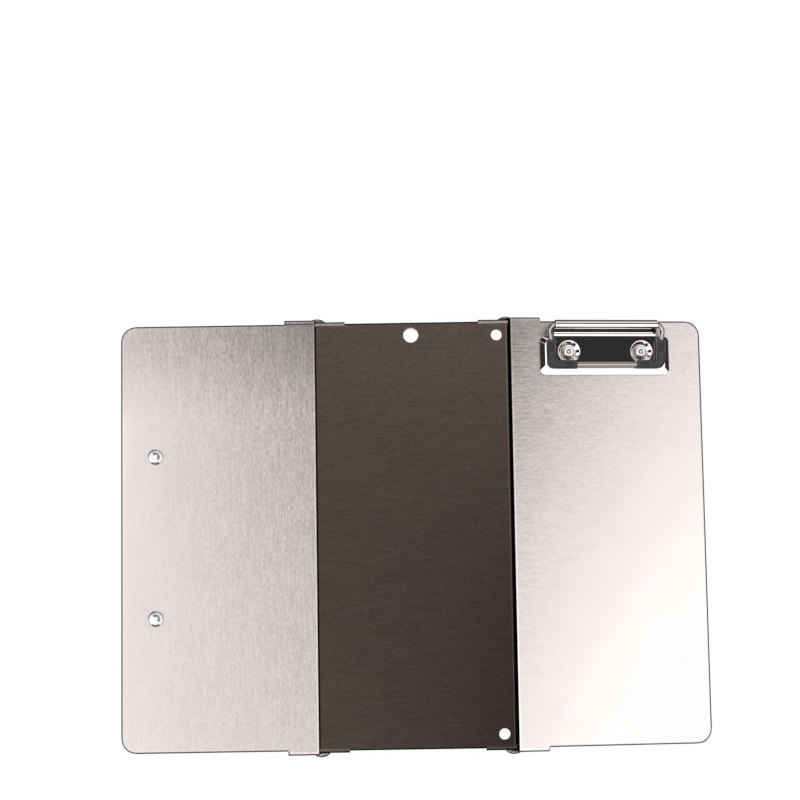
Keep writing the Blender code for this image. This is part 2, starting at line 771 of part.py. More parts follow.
def make_left_side(board):
    pivot = Vector((-PIVOT_X, 0, TOP - LEFT_PIVOT_DEPTH))
    axis = add_empty("left_fold_axis", board, pivot)
    rivet_x = -FREE_EDGE + rivet_from_edge(MAIN_CLIP)
    places = [(rivet_x, end * MAIN_CLIP.rivet_span / 2) for end in (-1, 1)]
    make_outer_panel("left_panel", -1, LEFT_PIVOT_DEPTH, places, axis, pivot)
    seat = add_empty("main_clip_seat", axis, (0, 0, 0))
    corner = Vector((-FREE_EDGE + clip_axis_from_edge(MAIN_CLIP), 0, TOP - SHEET))
    seat.location = corner - pivot
    seat.rotation_euler = (math.pi, 0, math.pi / 2)
    make_clip(MAIN_CLIP, seat)


def make_right_side(board):
    pivot = Vector((PIVOT_X, 0, TOP - RIGHT_PIVOT_DEPTH))
    axis = add_empty("right_fold_axis", board, pivot)
    clip_x = OUTER_EDGE + PANEL_WIDTH / 2 - SMALL_CLIP_SHIFT
    rivet_y = PANEL_LENGTH / 2 - rivet_from_edge(SMALL_CLIP)
    places = [(clip_x + side * SMALL_CLIP.rivet_span / 2, rivet_y) for side in (-1, 1)]
    make_outer_panel("right_panel", 1, RIGHT_PIVOT_DEPTH, places, axis, pivot)
    seat = add_empty("small_clip_seat", axis, (0, 0, 0))
    corner = Vector((clip_x, PANEL_LENGTH / 2 - clip_axis_from_edge(SMALL_CLIP), TOP))
    seat.location = corner - pivot
    seat.rotation_euler = (0, 0, math.pi)
    make_clip(SMALL_CLIP, seat)
    axis.rotation_euler = (0, DROOP, 0)


def make_board():
    board = bpy.data.objects.new("board", None)
    PARTS.objects.link(board)
    board.location = (BOARD_SHIFT, 0, 0)
    make_middle_panel(board)
    for side, side_name, depth in (
        (-1, "left", LEFT_PIVOT_DEPTH),
        (1, "right", RIGHT_PIVOT_DEPTH),
    ):
        for end, end_name in ((1, "top"), (-1, "bottom")):
            name = f"hinge_rivet_{end_name}_{side_name}"
            make_hinge_rivet(name, side * PIVOT_X, depth, end, board)
    make_left_side(board)
    make_right_side(board)


make_board()
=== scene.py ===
# %% [markdown]
# # A folding storage clipboard in brushed steel
#
# Three steel panels lie open side by side, joined by riveted ears, with a small chromed wire
# clip on the right-hand one. The solid model of the board is loaded as a fixed frame. This
# lesson gives every piece its finish, and models again, finer, the pieces whose roundness or
# small forms show: the wires, the rubber sleeves, the springs and the rivets.

import json
import math
from collections import namedtuple

import bmesh
import bpy
from mathutils import Matrix, Vector


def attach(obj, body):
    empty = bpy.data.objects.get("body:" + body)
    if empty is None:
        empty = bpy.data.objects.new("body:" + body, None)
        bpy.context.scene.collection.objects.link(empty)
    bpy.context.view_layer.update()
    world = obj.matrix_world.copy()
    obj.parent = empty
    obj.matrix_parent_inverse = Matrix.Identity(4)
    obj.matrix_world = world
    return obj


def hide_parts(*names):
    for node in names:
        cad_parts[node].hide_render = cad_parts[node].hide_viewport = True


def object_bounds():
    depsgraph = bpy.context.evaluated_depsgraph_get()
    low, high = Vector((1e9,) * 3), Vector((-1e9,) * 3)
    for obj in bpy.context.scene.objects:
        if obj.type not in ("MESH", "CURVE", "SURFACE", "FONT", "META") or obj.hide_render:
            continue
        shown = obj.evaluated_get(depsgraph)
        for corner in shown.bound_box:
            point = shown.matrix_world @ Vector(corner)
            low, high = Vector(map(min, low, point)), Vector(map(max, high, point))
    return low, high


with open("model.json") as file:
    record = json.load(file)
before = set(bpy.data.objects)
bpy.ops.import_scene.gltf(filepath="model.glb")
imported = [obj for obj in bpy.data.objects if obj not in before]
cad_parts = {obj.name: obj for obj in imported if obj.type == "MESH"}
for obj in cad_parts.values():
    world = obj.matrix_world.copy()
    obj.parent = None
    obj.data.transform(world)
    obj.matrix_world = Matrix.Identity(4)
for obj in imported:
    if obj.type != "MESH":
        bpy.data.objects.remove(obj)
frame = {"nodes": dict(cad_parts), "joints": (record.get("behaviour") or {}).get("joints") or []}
nodes = frame["nodes"]
cad_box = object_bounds()
MM = 0.001
scene = bpy.context.scene
print("pieces in the frame:", len(nodes))

# %% [markdown]
# ## Maths on sockets
#
# A finish is a sum of small patterns, and sums read best as sums. One small class wraps a
# socket, so that `1 - mask` or `grain * 0.2` adds the Math node it needs. Every other node
# comes from a single method of the graph, which sets the node's own settings first and then
# its sockets.


# %% A socket that can be calculated with
def math_method(operation, reflected=False):
    """A method that adds one Math node, its two values swapped where it is reflected."""

    def method(self, other=0):
        first, second = (other, self) if reflected else (self, other)
        return self.maths(operation, first, second)

    return method


class Value:
    """One output socket. Arithmetic on it adds Math nodes to its graph."""

    __add__, __radd__ = math_method("ADD"), math_method("ADD", reflected=True)
    __sub__, __rsub__ = math_method("SUBTRACT"), math_method("SUBTRACT", reflected=True)
    __mul__, __rmul__ = math_method("MULTIPLY"), math_method("MULTIPLY", reflected=True)
    __pow__, __abs__ = math_method("POWER"), math_method("ABSOLUTE")
    least, most = math_method("MINIMUM"), math_method("MAXIMUM")

    def __init__(self, graph, socket):
        self.graph = graph
        self.socket = socket

    def maths(self, operation, first, second):
        return self.graph.node("ShaderNodeMath", {"operation": operation}, {0: first, 1: second})

    def angle_to(self, other):
        """The angle whose tangent is this value over the other one, in degrees."""
        return self.maths("ARCTAN2", self, other) * (180 / math.pi)


class Graph:
    """A node tree that is filled by one method."""

    def __init__(self, tree):
        self.tree = tree
        tree.nodes.clear()

    def node(self, kind, settings=None, inputs=None, output=0):
        node = self.tree.nodes.new(kind)
        for name, value in (settings or {}).items():
            setattr(node, name, value)
        for key, value in (inputs or {}).items():
            if isinstance(value, Value):
                self.tree.links.new(value.socket, node.inputs[key])
            else:
                node.inputs[key].default_value = value
        return Value(self, node.outputs[output]) if len(node.outputs) else node

    def step(self, value, low, high):
        """Rises smoothly from 0 at one value to 1 at another."""
        ends = {"Value": value, "From Min": low, "From Max": high}
        return self.node("ShaderNodeMapRange", {"interpolation_type": "SMOOTHSTEP"}, ends)

    def band(self, value, low, high, soft):
        """1 between two values and 0 outside them, with soft edges."""
        return self.step(value, low - soft, low) * (1 - self.step(value, high, high + soft))

    def split(self, vector):
        """X, Y and Z of a vector."""
        parts = self.node("ShaderNodeSeparateXYZ", inputs={0: vector}).socket.node
        return [Value(self, parts.outputs[axis]) for axis in "XYZ"]


# %% [markdown]
# ## The camera
#
# The board is seen from straight above by a camera a good metre away. Its place, its small
# tilt and its lens were found by matching the corners of the panels and the holes.

# %% Camera
CAMERA_PLACE = (-7.132 * MM, -45.421 * MM, 1124.208 * MM)
CAMERA_TURN = (6.2315, 0.1093, -0.9171)
CAMERA_LENS = 88.58


def in_scene(name, data):
    """A new object, linked into the scene."""
    item = bpy.data.objects.new(name, data)
    scene.collection.objects.link(item)
    return item


lens = bpy.data.cameras.new("camera")
lens.lens = CAMERA_LENS
lens.clip_start = 0.01
camera = in_scene("camera", lens)
camera.location = CAMERA_PLACE
camera.rotation_euler = [math.radians(angle) for angle in CAMERA_TURN]
scene.camera = camera
scene.view_settings.view_transform = "Standard"
print("camera is", round(CAMERA_PLACE[2], 3), "m above the table")

# %% [markdown]
# ## A studio that the metal can see
#
# Metal has no look of its own: it shows what stands round it. Satin metal blurs all that into
# one tone, so for it the studio is an even white dome that darkens towards the horizon.
# Polished metal shows it sharply, so for mirror rays the dome has the things that a studio
# has: the dark opening overhead that the picture is taken through, dark stands at the left,
# the right and the back, and a dark wall low all round. What the camera sees directly is
# plain white.

# %% World
DOME = 1.0
HORIZON_SHARE = 0.1
HORIZON_FADE = (-0.05, 0.5)
MIRROR_WHITE = 1.35
MIRROR_DARK = 0.03
OPENING_ACROSS = (0.2, 0.5, 0.05)
OPENING_NEAR, OPENING_FAR = (4, 6), (40, 43)
FAR_LEFT_BACK, FAR_LEFT_FRONT, FAR_LEFT_END = (158, 166), (168, 176), (-0.66, -0.58)
FAR_RIGHT = (0.86, 0.92)
FRONT_LEFT_BEARING, FRONT_LEFT_HEIGHT = (-145, -108, 5), (0.12, 0.62, 0.06)
LEFT_BACK_ACROSS, LEFT_BACK_TILT = (-0.62, -0.25, 0.08), (22, 58, 6)
ABOVE_TABLE = (-0.02, 0.04)
LOW_WALL = (0.33, 0.43)

world = bpy.data.worlds.new("studio")
world.use_nodes = True
scene.world = world
sky = Graph(world.node_tree)
rightward, backward, upward = sky.split(sky.node("ShaderNodeTexCoord", output="Generated"))
back_tilt = backward.angle_to(upward)
bearing = backward.angle_to(rightward)

opening = sky.band(rightward, *OPENING_ACROSS) * sky.step(back_tilt, *OPENING_NEAR)
opening = opening * (1 - sky.step(back_tilt, *OPENING_FAR))
far_left = sky.step(bearing, *FAR_LEFT_BACK) + sky.step(0 - bearing, *FAR_LEFT_FRONT)
far_left = far_left * sky.step(upward, *ABOVE_TABLE) * (1 - sky.step(rightward, *FAR_LEFT_END))
far_right = sky.step(rightward, *FAR_RIGHT)
front_left = sky.band(bearing, *FRONT_LEFT_BEARING) * sky.band(upward, *FRONT_LEFT_HEIGHT)
left_back = sky.band(rightward, *LEFT_BACK_ACROSS) * sky.band(back_tilt, *LEFT_BACK_TILT)
low = 1 - sky.step(upward, *LOW_WALL)
clear = 1
for dark in (opening, far_left, far_right, front_left, left_back, low):
    clear = (1 - dark) * clear
mirrored = clear * (MIRROR_WHITE - MIRROR_DARK) + MIRROR_DARK

horizon = DOME * HORIZON_SHARE
satin = sky.step(upward, *HORIZON_FADE) * (DOME - horizon) + horizon
seen = sky.node("ShaderNodeLightPath", output="Is Camera Ray")
sharp = Value(sky, seen.socket.node.outputs["Is Singular Ray"])
lit = sharp * mirrored + (1 - sharp) * satin
strength = seen + (1 - seen) * lit
dome = sky.node("ShaderNodeBackground", inputs={"Color": (1, 1, 1, 1), "Strength": strength})
sky.node("ShaderNodeOutputWorld", inputs={"Surface": dome})
print("studio: satin metal sees", DOME, "overhead and", horizon, "at the horizon")

# %% [markdown]
# ## The table
#
# The table is a white sheet. To the camera it is nearly as bright as paper in a light tent,
# so only a breath of the board's shadow is left on it. Right under the board it is a plain
# matt sheet. Along the gap at the right fold it is a black sheet, a painted shadow where no
# light gets down. Under the three holes it glows white: painted light, in place of the light
# that falls through them.

# %% Table
TABLE_SIZE = 6.0
# The second grey is the black of the painted shadow along the fold's gap.
PAPER_GREY, FOLD_SHADOW_GREY, BOUNCE_GREY = 0.93, 0.02, 0.1
SHADOW_SHARE = 0.02
BOARD_INSET = 5 * MM
BOARD_END, BOARD_END_FADE = 119.5 * MM, 0.5 * MM
# Where the painted fold shadow lies.
FOLD_GAP, FOLD_GAP_FADE = (50 * MM, 60 * MM), 2 * MM
FOLD_END, FOLD_END_FADE = 122 * MM, 0.3 * MM
# Painted light: a white glowing spot on the table under each hole.
PAINTED_HOLE_LIGHT_RADIUS = 6.4 * MM
PAINTED_HOLE_LIGHT_CORE = 0.7
HOLES = ((-0.6 * MM, 112.9 * MM), (48.1 * MM, 112.2 * MM), (48.1 * MM, -112.2 * MM))


def new_material(name):
    material = bpy.data.materials.new(name)
    material.use_nodes = True
    return material, Graph(material.node_tree)


def new_mesh(name, points, edges=(), faces=()):
    mesh = bpy.data.meshes.new(name)
    mesh.from_pydata(points, edges, faces)
    return mesh


def matt(graph, grey):
    return graph.node("ShaderNodeBsdfDiffuse", inputs={"Color": (grey, grey, grey, 1)})


def mixed(graph, factor, first, second):
    return graph.node("ShaderNodeMixShader", inputs={0: factor, 1: first, 2: second})


def table_paper():
    material, graph = new_material("table_paper")
    x, y, _ = graph.split(graph.node("ShaderNodeTexCoord", output="Object"))
    low, high = cad_box
    under = graph.band(x, low.x + BOARD_INSET, high.x - BOARD_INSET, BOARD_INSET)
    under = under * graph.band(y, -BOARD_END, BOARD_END, BOARD_END_FADE)
    # Painted shadow: black matt table along the gap at the right fold.
    painted_fold_shadow = graph.band(x, *FOLD_GAP, FOLD_GAP_FADE)
    painted_fold_shadow = painted_fold_shadow * graph.band(y, -FOLD_END, FOLD_END, FOLD_END_FADE)
    under = under.most(painted_fold_shadow)
    # Painted light: the table glows white under each hole.
    for hole_x, hole_y in HOLES:
        away = (x - hole_x) ** 2 + (y - hole_y) ** 2
        under = under * graph.step(away, (PAINTED_HOLE_LIGHT_RADIUS * PAINTED_HOLE_LIGHT_CORE) ** 2, PAINTED_HOLE_LIGHT_RADIUS**2)
    seen = graph.node("ShaderNodeLightPath", output="Is Camera Ray")
    glow = graph.node("ShaderNodeEmission", inputs={"Color": (1, 1, 1, 1), "Strength": 1.0})
    paper = mixed(graph, painted_fold_shadow, matt(graph, PAPER_GREY), matt(graph, FOLD_SHADOW_GREY))
    paper = mixed(graph, SHADOW_SHARE + (1 - SHADOW_SHARE) * under, glow, paper)
    shown = mixed(graph, seen, matt(graph, BOUNCE_GREY), paper)
    graph.node("ShaderNodeOutputMaterial", inputs={"Surface": shown})
    return material


half = TABLE_SIZE / 2
corners = [(x * half, y * half, 0) for x, y in ((-1, -1), (1, -1), (1, 1), (-1, 1))]
table = in_scene("table", new_mesh("table", corners, faces=[(0, 1, 2, 3)]))
table.data.materials.append(table_paper())
table.location.z = cad_box[0].z - 0.05 * MM
print("table is", TABLE_SIZE, "m across")

# %% [markdown]
# ## Soft light from one side
#
# One broad lamp, high on the left, gives the raised forms a light side and a shaded side. It
# is weak next to the dome, so the steel keeps the tone that its material gives it.

# %% Lamp
LAMP_PLACE = Vector((-0.9, -0.5, 1.3))
LAMP_SIZE = 1.0
LAMP_POWER = 2.5

lamp_data = bpy.data.lights.new("soft_lamp", "AREA")
lamp_data.size = LAMP_SIZE
lamp_data.energy = LAMP_POWER
lamp = in_scene("soft_lamp", lamp_data)
lamp.location = LAMP_PLACE
lamp.rotation_euler = (-LAMP_PLACE).to_track_quat("-Z", "Y").to_euler()
print("lamp power", LAMP_POWER, "W")

# %% [markdown]
# ## Brushed sheet steel
#
# Steel sheet is brushed in one direction, which leaves fine parallel scratches. They could be
# modelled, but they are a few hundredths of a millimetre deep, so they belong in the
# material: a noise that is squeezed across the grain and drawn out along it. It changes the
# colour, the roughness and the bump a little. A slow, broad noise keeps the sheet from being
# the same all over. The grain shows more where the painted shade is darker, and where the
# painted light is brightest the colour turns white, a painted highlight.


# %% Brushed steel
# Each noise has its size across and along the grain, in millimetres.
FINE, MIDDLING, SLOW, BLOTCH = (0.55, 2.4), (1.0, 9), (14, 24), (3.2, 6)
MIDDLING_SHARE, SLOW_SHARE = 0.6, 0.06
BLOTCH_BLEND = (0.3, 0.7)
PAINTED_GLINT_BLEND = (1.4, 3.0)
# Painted highlight: where the painted light is brightest the steel turns white.
PAINTED_HIGHLIGHT_BLEND = (0.95, 1.07)
PAINTED_HIGHLIGHT_WHITE = (1.0, 0.985, 0.965)
SCRATCH_DEPTH, SCRATCH_STRENGTH = 0.02 * MM, 0.2
SCRATCH_ROUGHNESS = 0.12


def scaled(graph, vector, factor):
    """A vector made longer or shorter by a value, or a colour lighter or darker."""
    inputs = {0: vector, "Scale": factor}
    return graph.node("ShaderNodeVectorMath", {"operation": "SCALE"}, inputs)


def millimetres(graph):
    """Object coordinates in millimetres: the whole vector, and X, Y and Z by themselves."""
    vector = scaled(graph, graph.node("ShaderNodeTexCoord", output="Object"), 1 / MM)
    return vector, graph.split(vector)


def noise(graph, vector, scale, detail):
    inputs = {"Vector": vector, "Scale": scale, "Detail": detail}
    return graph.node("ShaderNodeTexNoise", inputs=inputs)


def streaks(graph, vector, size, lengthwise, detail=2.0):
    """Noise drawn out along the grain: centred on 0.5."""
    across, along = 1 / size[0], 1 / size[1]
    squeeze = (across, along, along) if lengthwise else (along, across, along)
    inputs = {0: vector, 1: squeeze}
    drawn = graph.node("ShaderNodeVectorMath", {"operation": "MULTIPLY"}, inputs)
    return noise(graph, drawn, 1.0, detail)


def blend_colours(graph, factor, first, second):
    settings = {"data_type": "RGBA"}
    inputs = {0: factor, 6: first, 7: second}
    return graph.node("ShaderNodeMix", settings, inputs, output=2)


def bump(graph, height, depth, strength=1.0):
    inputs = {"Strength": strength, "Distance": depth, "Height": height}
    return graph.node("ShaderNodeBump", inputs=inputs)


def surfaced(material, graph, colour, roughness, normal, metallic=1.0):
    """The material, closed with one Principled surface."""
    inputs = {"Base Color": colour, "Metallic": metallic, "Roughness": roughness, "Normal": normal}
    surface = graph.node("ShaderNodeBsdfPrincipled", inputs=inputs)
    graph.node("ShaderNodeOutputMaterial", inputs={"Surface": surface})
    return material


def brushed_steel(name, warm, cool, lengthwise, contrast, shade, glint=None, roughness=0.34):
    """shade is a function of the graph and of X, Y and Z in millimetres. It gives the sheet's
    painted tone of light and shade and the strength of its painted outline. contrast is the
    grain's least contrast, how much it gains where the tone is darker, and its most. glint is
    the colour of its brightest painted lines, a painted highlight."""
    material, graph = new_material(name)
    vector, place = millimetres(graph)
    sizes = (FINE, MIDDLING, BLOTCH)
    fine, middling, blotch = [streaks(graph, vector, size, lengthwise) for size in sizes]
    slow = streaks(graph, vector, SLOW, lengthwise, detail=1.0)
    tone, line = shade(graph, *place)
    steel = blend_colours(graph, graph.step(blotch, *BLOTCH_BLEND), (*warm, 1), (*cool, 1))
    # Painted highlight where the tone is brightest.
    steel = blend_colours(graph, graph.step(tone, *PAINTED_HIGHLIGHT_BLEND), steel, (*PAINTED_HIGHLIGHT_WHITE, 1))
    tone = tone.least(1)
    least, gain, most = contrast
    strength = ((1 - tone) * gain + least).most(0).least(most)
    grain = (fine - 0.5 + (middling - 0.5) * MIDDLING_SHARE) * strength
    grain = grain + (slow - 0.5) * SLOW_SHARE
    # Painted glint on the brightest painted lines.
    if glint:
        steel = blend_colours(graph, graph.step(line, *PAINTED_GLINT_BLEND), steel, (*glint, 1))
    colour = scaled(graph, steel, tone * (1 + grain) * line)
    rough = roughness + (fine - 0.5) * SCRATCH_ROUGHNESS
    scratched = bump(graph, fine, SCRATCH_DEPTH, SCRATCH_STRENGTH)
    return surfaced(material, graph, colour, rough, scratched)


# %% [markdown]
# ## Painted tones of the three panels
#
# Each panel's colour and tone are painted light and shade. The same steel is painted lighter
# or darker on each panel, because each lies at its own angle to the light, and each is
# brushed its own way: the left one lengthwise, the other two across. The tone is a painted
# gradient of light and shade, a smooth formula over the sheet: u runs across it from -1 to 1,
# and v along it from the bottom to the top. Round every sheet goes a narrow painted dark
# line, where the cut edge turns away from the light. The ears are bent down from tabs, and
# the bend shows as a painted light strip with a painted dark line outside it.

# %% Tones
# Lengths are in millimetres. A tone, a painted gradient of light and shade, is its level,
# its slopes to the right and to the top, its twist, and how it bows across and along.
LEFT_X = (-165.52, -55.52)
MIDDLE_X = (-55.22, 54.78)
RIGHT_X = (56.31, 165.52)
END_Y, TOP_Z = 120.0, 14.2
PAST_FOLD = 20
RIGHT_FALL = 0.1206
CORNER_R = 8.5
EAR_X = 17.0
INNER_EAR, OUTER_EAR = 1.2, 2.4
# Painted shade and highlights: dark lines at the cut edges and ears, light strips on the bends.
LINE_DARK = 0.92
CUT_EDGE, INNER_EDGE = (-1.0, -0.5), (-1.5, -0.9, 0.2)
EAR_SIDE, EAR_ROOT = (-0.3, 0.1), (-1.6, -1.2)
BEND_DROP, BEND_STRIP, STRIP_FADE = (-3.4, -2.6), (0.5, 1.4, 0.3), 0.25
EAR_LINE, EAR_END_LINE, EAR_END_START = (-0.95, -0.6), (-0.85, -0.45), (0, 0.4)
LEFT_PAINTED_TONE = (0.816, -0.153, -0.041, -0.092, 0, 0)
# Painted shade: the left panel darkens towards its top.
LEFT_TOP, LEFT_TOP_DARK, LEFT_TOP_SLOPE = (0.5, 1.02), 0.228, 0.037
# Painted shade: a dark band along the root of the left panel's ear.
LEFT_EAR_DARK_BAND, LEFT_EAR_DARK_BAND_START, LEFT_EAR_DARK_BAND_DEPTH = (-0.4, 0.5, 0.3), (0, 0.3), 0.55
MIDDLE_PAINTED_TONE = (0.59, -0.073, 0.18, 0.099, -0.023, 0.1215)
# Painted highlight on the middle panel's bends.
MIDDLE_STRIP, MIDDLE_STRIP_GAIN = (-0.95, 0.3), (0.9, 2.0)
MIDDLE_ENDS = (-1.4, -0.9)
RIGHT_PAINTED_TONE = (0.892, 0.169, -0.246, 0.0745, -0.054, -0.068)


def spread(graph, x, y, x_range):
    ends = {"Value": x, "From Min": x_range[0], "From Max": x_range[1], "To Min": -1}
    return graph.node("ShaderNodeMapRange", inputs=ends), y * (1 / END_Y)


def painted_tone_over(u, v, level, to_right, to_top, twist, across, along):
    return level + u * to_right + v * to_top + u * v * twist + u**2 * across + v**2 * along


def outline_distance(x, y, x_range, radius):
    """Signed distance to a rounded rectangle: negative inside it."""
    low, high = x_range
    across = abs(x - (low + high) / 2) - ((high - low) / 2 - radius)
    along = abs(y) - (END_Y - radius)
    outside = (across.most(0) ** 2 + along.most(0) ** 2) ** 0.5
    return outside + across.most(along).least(0) - radius


def painted_edge_shading(graph, place, x_range, radius, folds, ear, strip, inner=0.0):
    """Paints shade on the cut edge, a dark line where it turns away from the light; at the ears
    the painted dark line lies outside the bend instead. folds are the places along X of the
    sheet's ears; strip is the painted highlight of each bend, as its start and end beyond the
    sheet's end and its gain; inner paints a highlight on a line just inside the edge."""
    x, y, z = place
    start, end, gain = strip
    distance = outline_distance(x, y, x_range, radius)
    beyond = abs(y) - END_Y
    # Painted shade on the cut edge, and a painted highlight just inside it.
    dark = graph.step(distance, *CUT_EDGE)
    light = graph.band(distance, *INNER_EDGE) * inner
    for fold in folds:
        past_ear = abs(x - fold) - EAR_X
        at_ear = 1 - graph.step(past_ear, *EAR_SIDE)
        off_ear = 1 - graph.step(beyond, *EAR_ROOT) * at_ear
        on_bend = graph.step(z - TOP_Z, *BEND_DROP) * at_ear
        ear_end = graph.step(past_ear, *EAR_END_LINE) * graph.step(beyond, *EAR_END_START)
        dark = dark * off_ear + (graph.step(beyond - ear, *EAR_LINE) + ear_end) * on_bend
        light = light * off_ear + graph.band(beyond, start, end, STRIP_FADE) * on_bend * gain
    return (1 - dark.least(1) * LINE_DARK) * (1 + light)


def painted_fold_highlight(graph, x, centre, width, gain):
    """A painted highlight: a light line along the edge at a fold."""
    return 1 + graph.band(x, centre - width / 2, centre + width / 2, width / 3) * gain


def left_shade(graph, x, y, z):
    fold = LEFT_X[1]
    u, v = spread(graph, x, y, LEFT_X)
    top = graph.step(v, *LEFT_TOP) * (u * LEFT_TOP_SLOPE - LEFT_TOP_DARK)
    outline = (LEFT_X[0], fold + PAST_FOLD)
    line = painted_edge_shading(graph, (x, y, z), outline, CORNER_R, (fold,), OUTER_EAR, BEND_STRIP, 0.08)
    # Painted shade: a dark band at the root of the ear.
    on_ear = graph.step(x - (fold - EAR_X), *LEFT_EAR_DARK_BAND_START)
    painted_band = graph.band(y - END_Y, *LEFT_EAR_DARK_BAND) * on_ear
    line = line * (1 - painted_band * LEFT_EAR_DARK_BAND_DEPTH)
    return painted_tone_over(u, v, *LEFT_PAINTED_TONE) + top, line * painted_fold_highlight(graph, x, fold - 0.5, 0.6, 0.25)


def middle_shade(graph, x, y, z):
    u, v = spread(graph, x, y, MIDDLE_X)
    least, gain = MIDDLE_STRIP_GAIN
    strip = (*MIDDLE_STRIP, least + graph.step(v, 0, 0.5) * gain)
    line = painted_edge_shading(graph, (x, y, z), MIDDLE_X, 0.0, MIDDLE_X, INNER_EAR, strip)
    inside = 1 - graph.step(abs(y) - END_Y, *MIDDLE_ENDS)
    line = line * painted_fold_highlight(graph, x, MIDDLE_X[1] - 1.1, 0.6, inside * 0.9)
    return painted_tone_over(u, v, *MIDDLE_PAINTED_TONE), line


def right_shade(graph, x, y, z):
    fold = RIGHT_X[0]
    u, v = spread(graph, x, y, RIGHT_X)
    level = z + (x - fold) * RIGHT_FALL
    outline = (fold - PAST_FOLD, RIGHT_X[1])
    line = painted_edge_shading(graph, (x, y, level), outline, CORNER_R, (fold,), OUTER_EAR, BEND_STRIP)
    return painted_tone_over(u, v, *RIGHT_PAINTED_TONE), line * painted_fold_highlight(graph, x, fold + 0.5, 0.7, 0.3)


# One steel, painted lighter or darker per panel: painted light and shade from each one's angle.
STEEL = {
    "left_panel": (
        "brushed_steel_warm", (0.797, 0.7225, 0.7135), (0.792, 0.7265, 0.7195), True,
        (0.0, 2.9, 1.25), left_shade,
    ),
    "middle_panel": (
        "brushed_steel_dark", (0.1115, 0.0805, 0.0718), (0.109, 0.082, 0.0732), False,
        (0.9, 0, 0.9), middle_shade, (0.1, 0.086, 0.078),
    ),
    "right_panel": (
        "brushed_steel_pale", (0.9975, 0.9165, 0.9015), (0.9925, 0.9185, 0.9038), False,
        (-0.04, 1.9, 1.1), right_shade,
    ),
}
steel_of = {node: brushed_steel(*finish) for node, finish in STEEL.items()}
print("brushed finishes:", ", ".join(sorted(steel_of)))

# %% [markdown]
# ## Panels with eased edges
#
# The panels of the frame are exact, but their cut edges are perfectly sharp and their bends
# are faceted. A real cut edge is eased, and shows as a thin line of its own. So each panel is
# copied, its loose triangles are merged into whole faces, and a narrow bevel is put on its
# edges. The copy then stands in for the panel.

# %% Panels
EDGE_EASE = 0.28 * MM
SMOOTH_ANGLE, SHARP_ANGLE, FLAT_ANGLE = [math.radians(angle) for angle in (32, 50, 0.4)]
WELD = 0.001 * MM


def merged_copy(node):
    """A copy of a frame node's mesh as whole, joined faces."""
    mesh = nodes[node].data.copy()
    cage = bmesh.new()
    cage.from_mesh(mesh)
    bmesh.ops.remove_doubles(cage, verts=cage.verts, dist=WELD)
    edges = {"verts": cage.verts, "edges": cage.edges}
    bmesh.ops.dissolve_limit(cage, angle_limit=FLAT_ANGLE, **edges)
    cage.to_mesh(mesh)
    cage.free()
    mesh.materials.clear()
    return mesh


def new_piece(name, mesh, material, body, slot, *replaced):
    """A finished piece at the origin, which rides on a body and stands in for frame nodes."""
    mesh.name = name
    mesh.materials.clear()
    mesh.materials.append(material)
    piece = in_scene(name, mesh)
    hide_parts(*replaced)
    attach(piece, body)
    print(name, "has", len(mesh.polygons), "faces")


def smooth(mesh):
    mesh.shade_smooth()
    mesh.set_sharp_from_angle(angle=SMOOTH_ANGLE)
    return mesh


def shaped(mesh, *modifiers):
    """The mesh after some modifiers, each a type and its settings."""
    guide = in_scene("guide", mesh)
    for kind, settings in modifiers:
        modifier = guide.modifiers.new(kind, kind)
        for name, value in settings.items():
            setattr(modifier, name, value)
    return evaluated_mesh(guide)


def evaluated_mesh(obj):
    """The object's shape with its modifiers, as a plain mesh; the object is then removed."""
    graph = bpy.context.evaluated_depsgraph_get()
    mesh = bpy.data.meshes.new_from_object(obj.evaluated_get(graph))
    bpy.data.objects.remove(obj)
    return mesh


def eased(mesh, width):
    """The mesh with a narrow round on its sharp edges."""
    round_over = {
        "width": width,
        "segments": 3,
        "limit_method": "ANGLE",
        "angle_limit": SHARP_ANGLE,
    }
    return shaped(mesh, ("BEVEL", round_over))


def even(mesh):
    """Smooth shading in which broad flat faces stay flat."""
    return shaped(smooth(mesh), ("WEIGHTED_NORMAL", {"keep_sharp": True, "weight": 80}))


BODY_OF = {"left_panel": "left_side", "middle_panel": "middle", "right_panel": "right_side"}
for node, (slot, *_) in STEEL.items():
    mesh = even(eased(merged_copy(node), EDGE_EASE))
    new_piece(f"{node}_sheet", mesh, steel_of[node], BODY_OF[node], slot, node)

# %% [markdown]
# ## Chrome and rubber
#
# Chrome is a smooth mirror. What keeps it from looking like a drawing is that pressed sheet
# and drawn wire are never quite true, so a broad, shallow bump lets the reflections waver.
# Rubber is black, soft and slightly dusty. Shade and light are painted where the form would
# give them, in a crease or in a groove: a mesh can carry that as an attribute, and these
# materials read it.


# %% Polished and rubber finishes
TONE_DRIFT = (0.97, 0.06)
RUBBER_BLACK, RUBBER_DUST = (0.024, 0.024, 0.028), (0.045, 0.045, 0.052)
DUST_BLEND = (0.45, 0.75)
# Painted highlight on the grooves' rims and painted shade on their floors.
GROOVE_RIM, RIM_GAIN = (0.1, 0.5, 0.08), 2.5
GROOVE_FLOOR, FLOOR_DARK = (0.6, 0.95), 0.85


def carried(graph, name):
    """A number that the mesh carries as an attribute."""
    return graph.node("ShaderNodeAttribute", {"attribute_name": name}, output="Fac")


def polished(name, colour, waver, size, roughness=0.0, shaded=False):
    """waver is the bump's depth and size its breadth, in millimetres; shaded dims the metal by
    the painted shade that the mesh carries as an attribute."""
    material, graph = new_material(name)
    vector, _ = millimetres(graph)
    normal = bump(graph, noise(graph, vector, 1 / size, 1.0), waver * MM)
    least, drift = TONE_DRIFT
    tone = least + noise(graph, vector, 0.35, 3.0) * drift
    if shaded:
        tone = tone * carried(graph, "shade")
    return surfaced(material, graph, scaled(graph, colour, tone), roughness, normal)


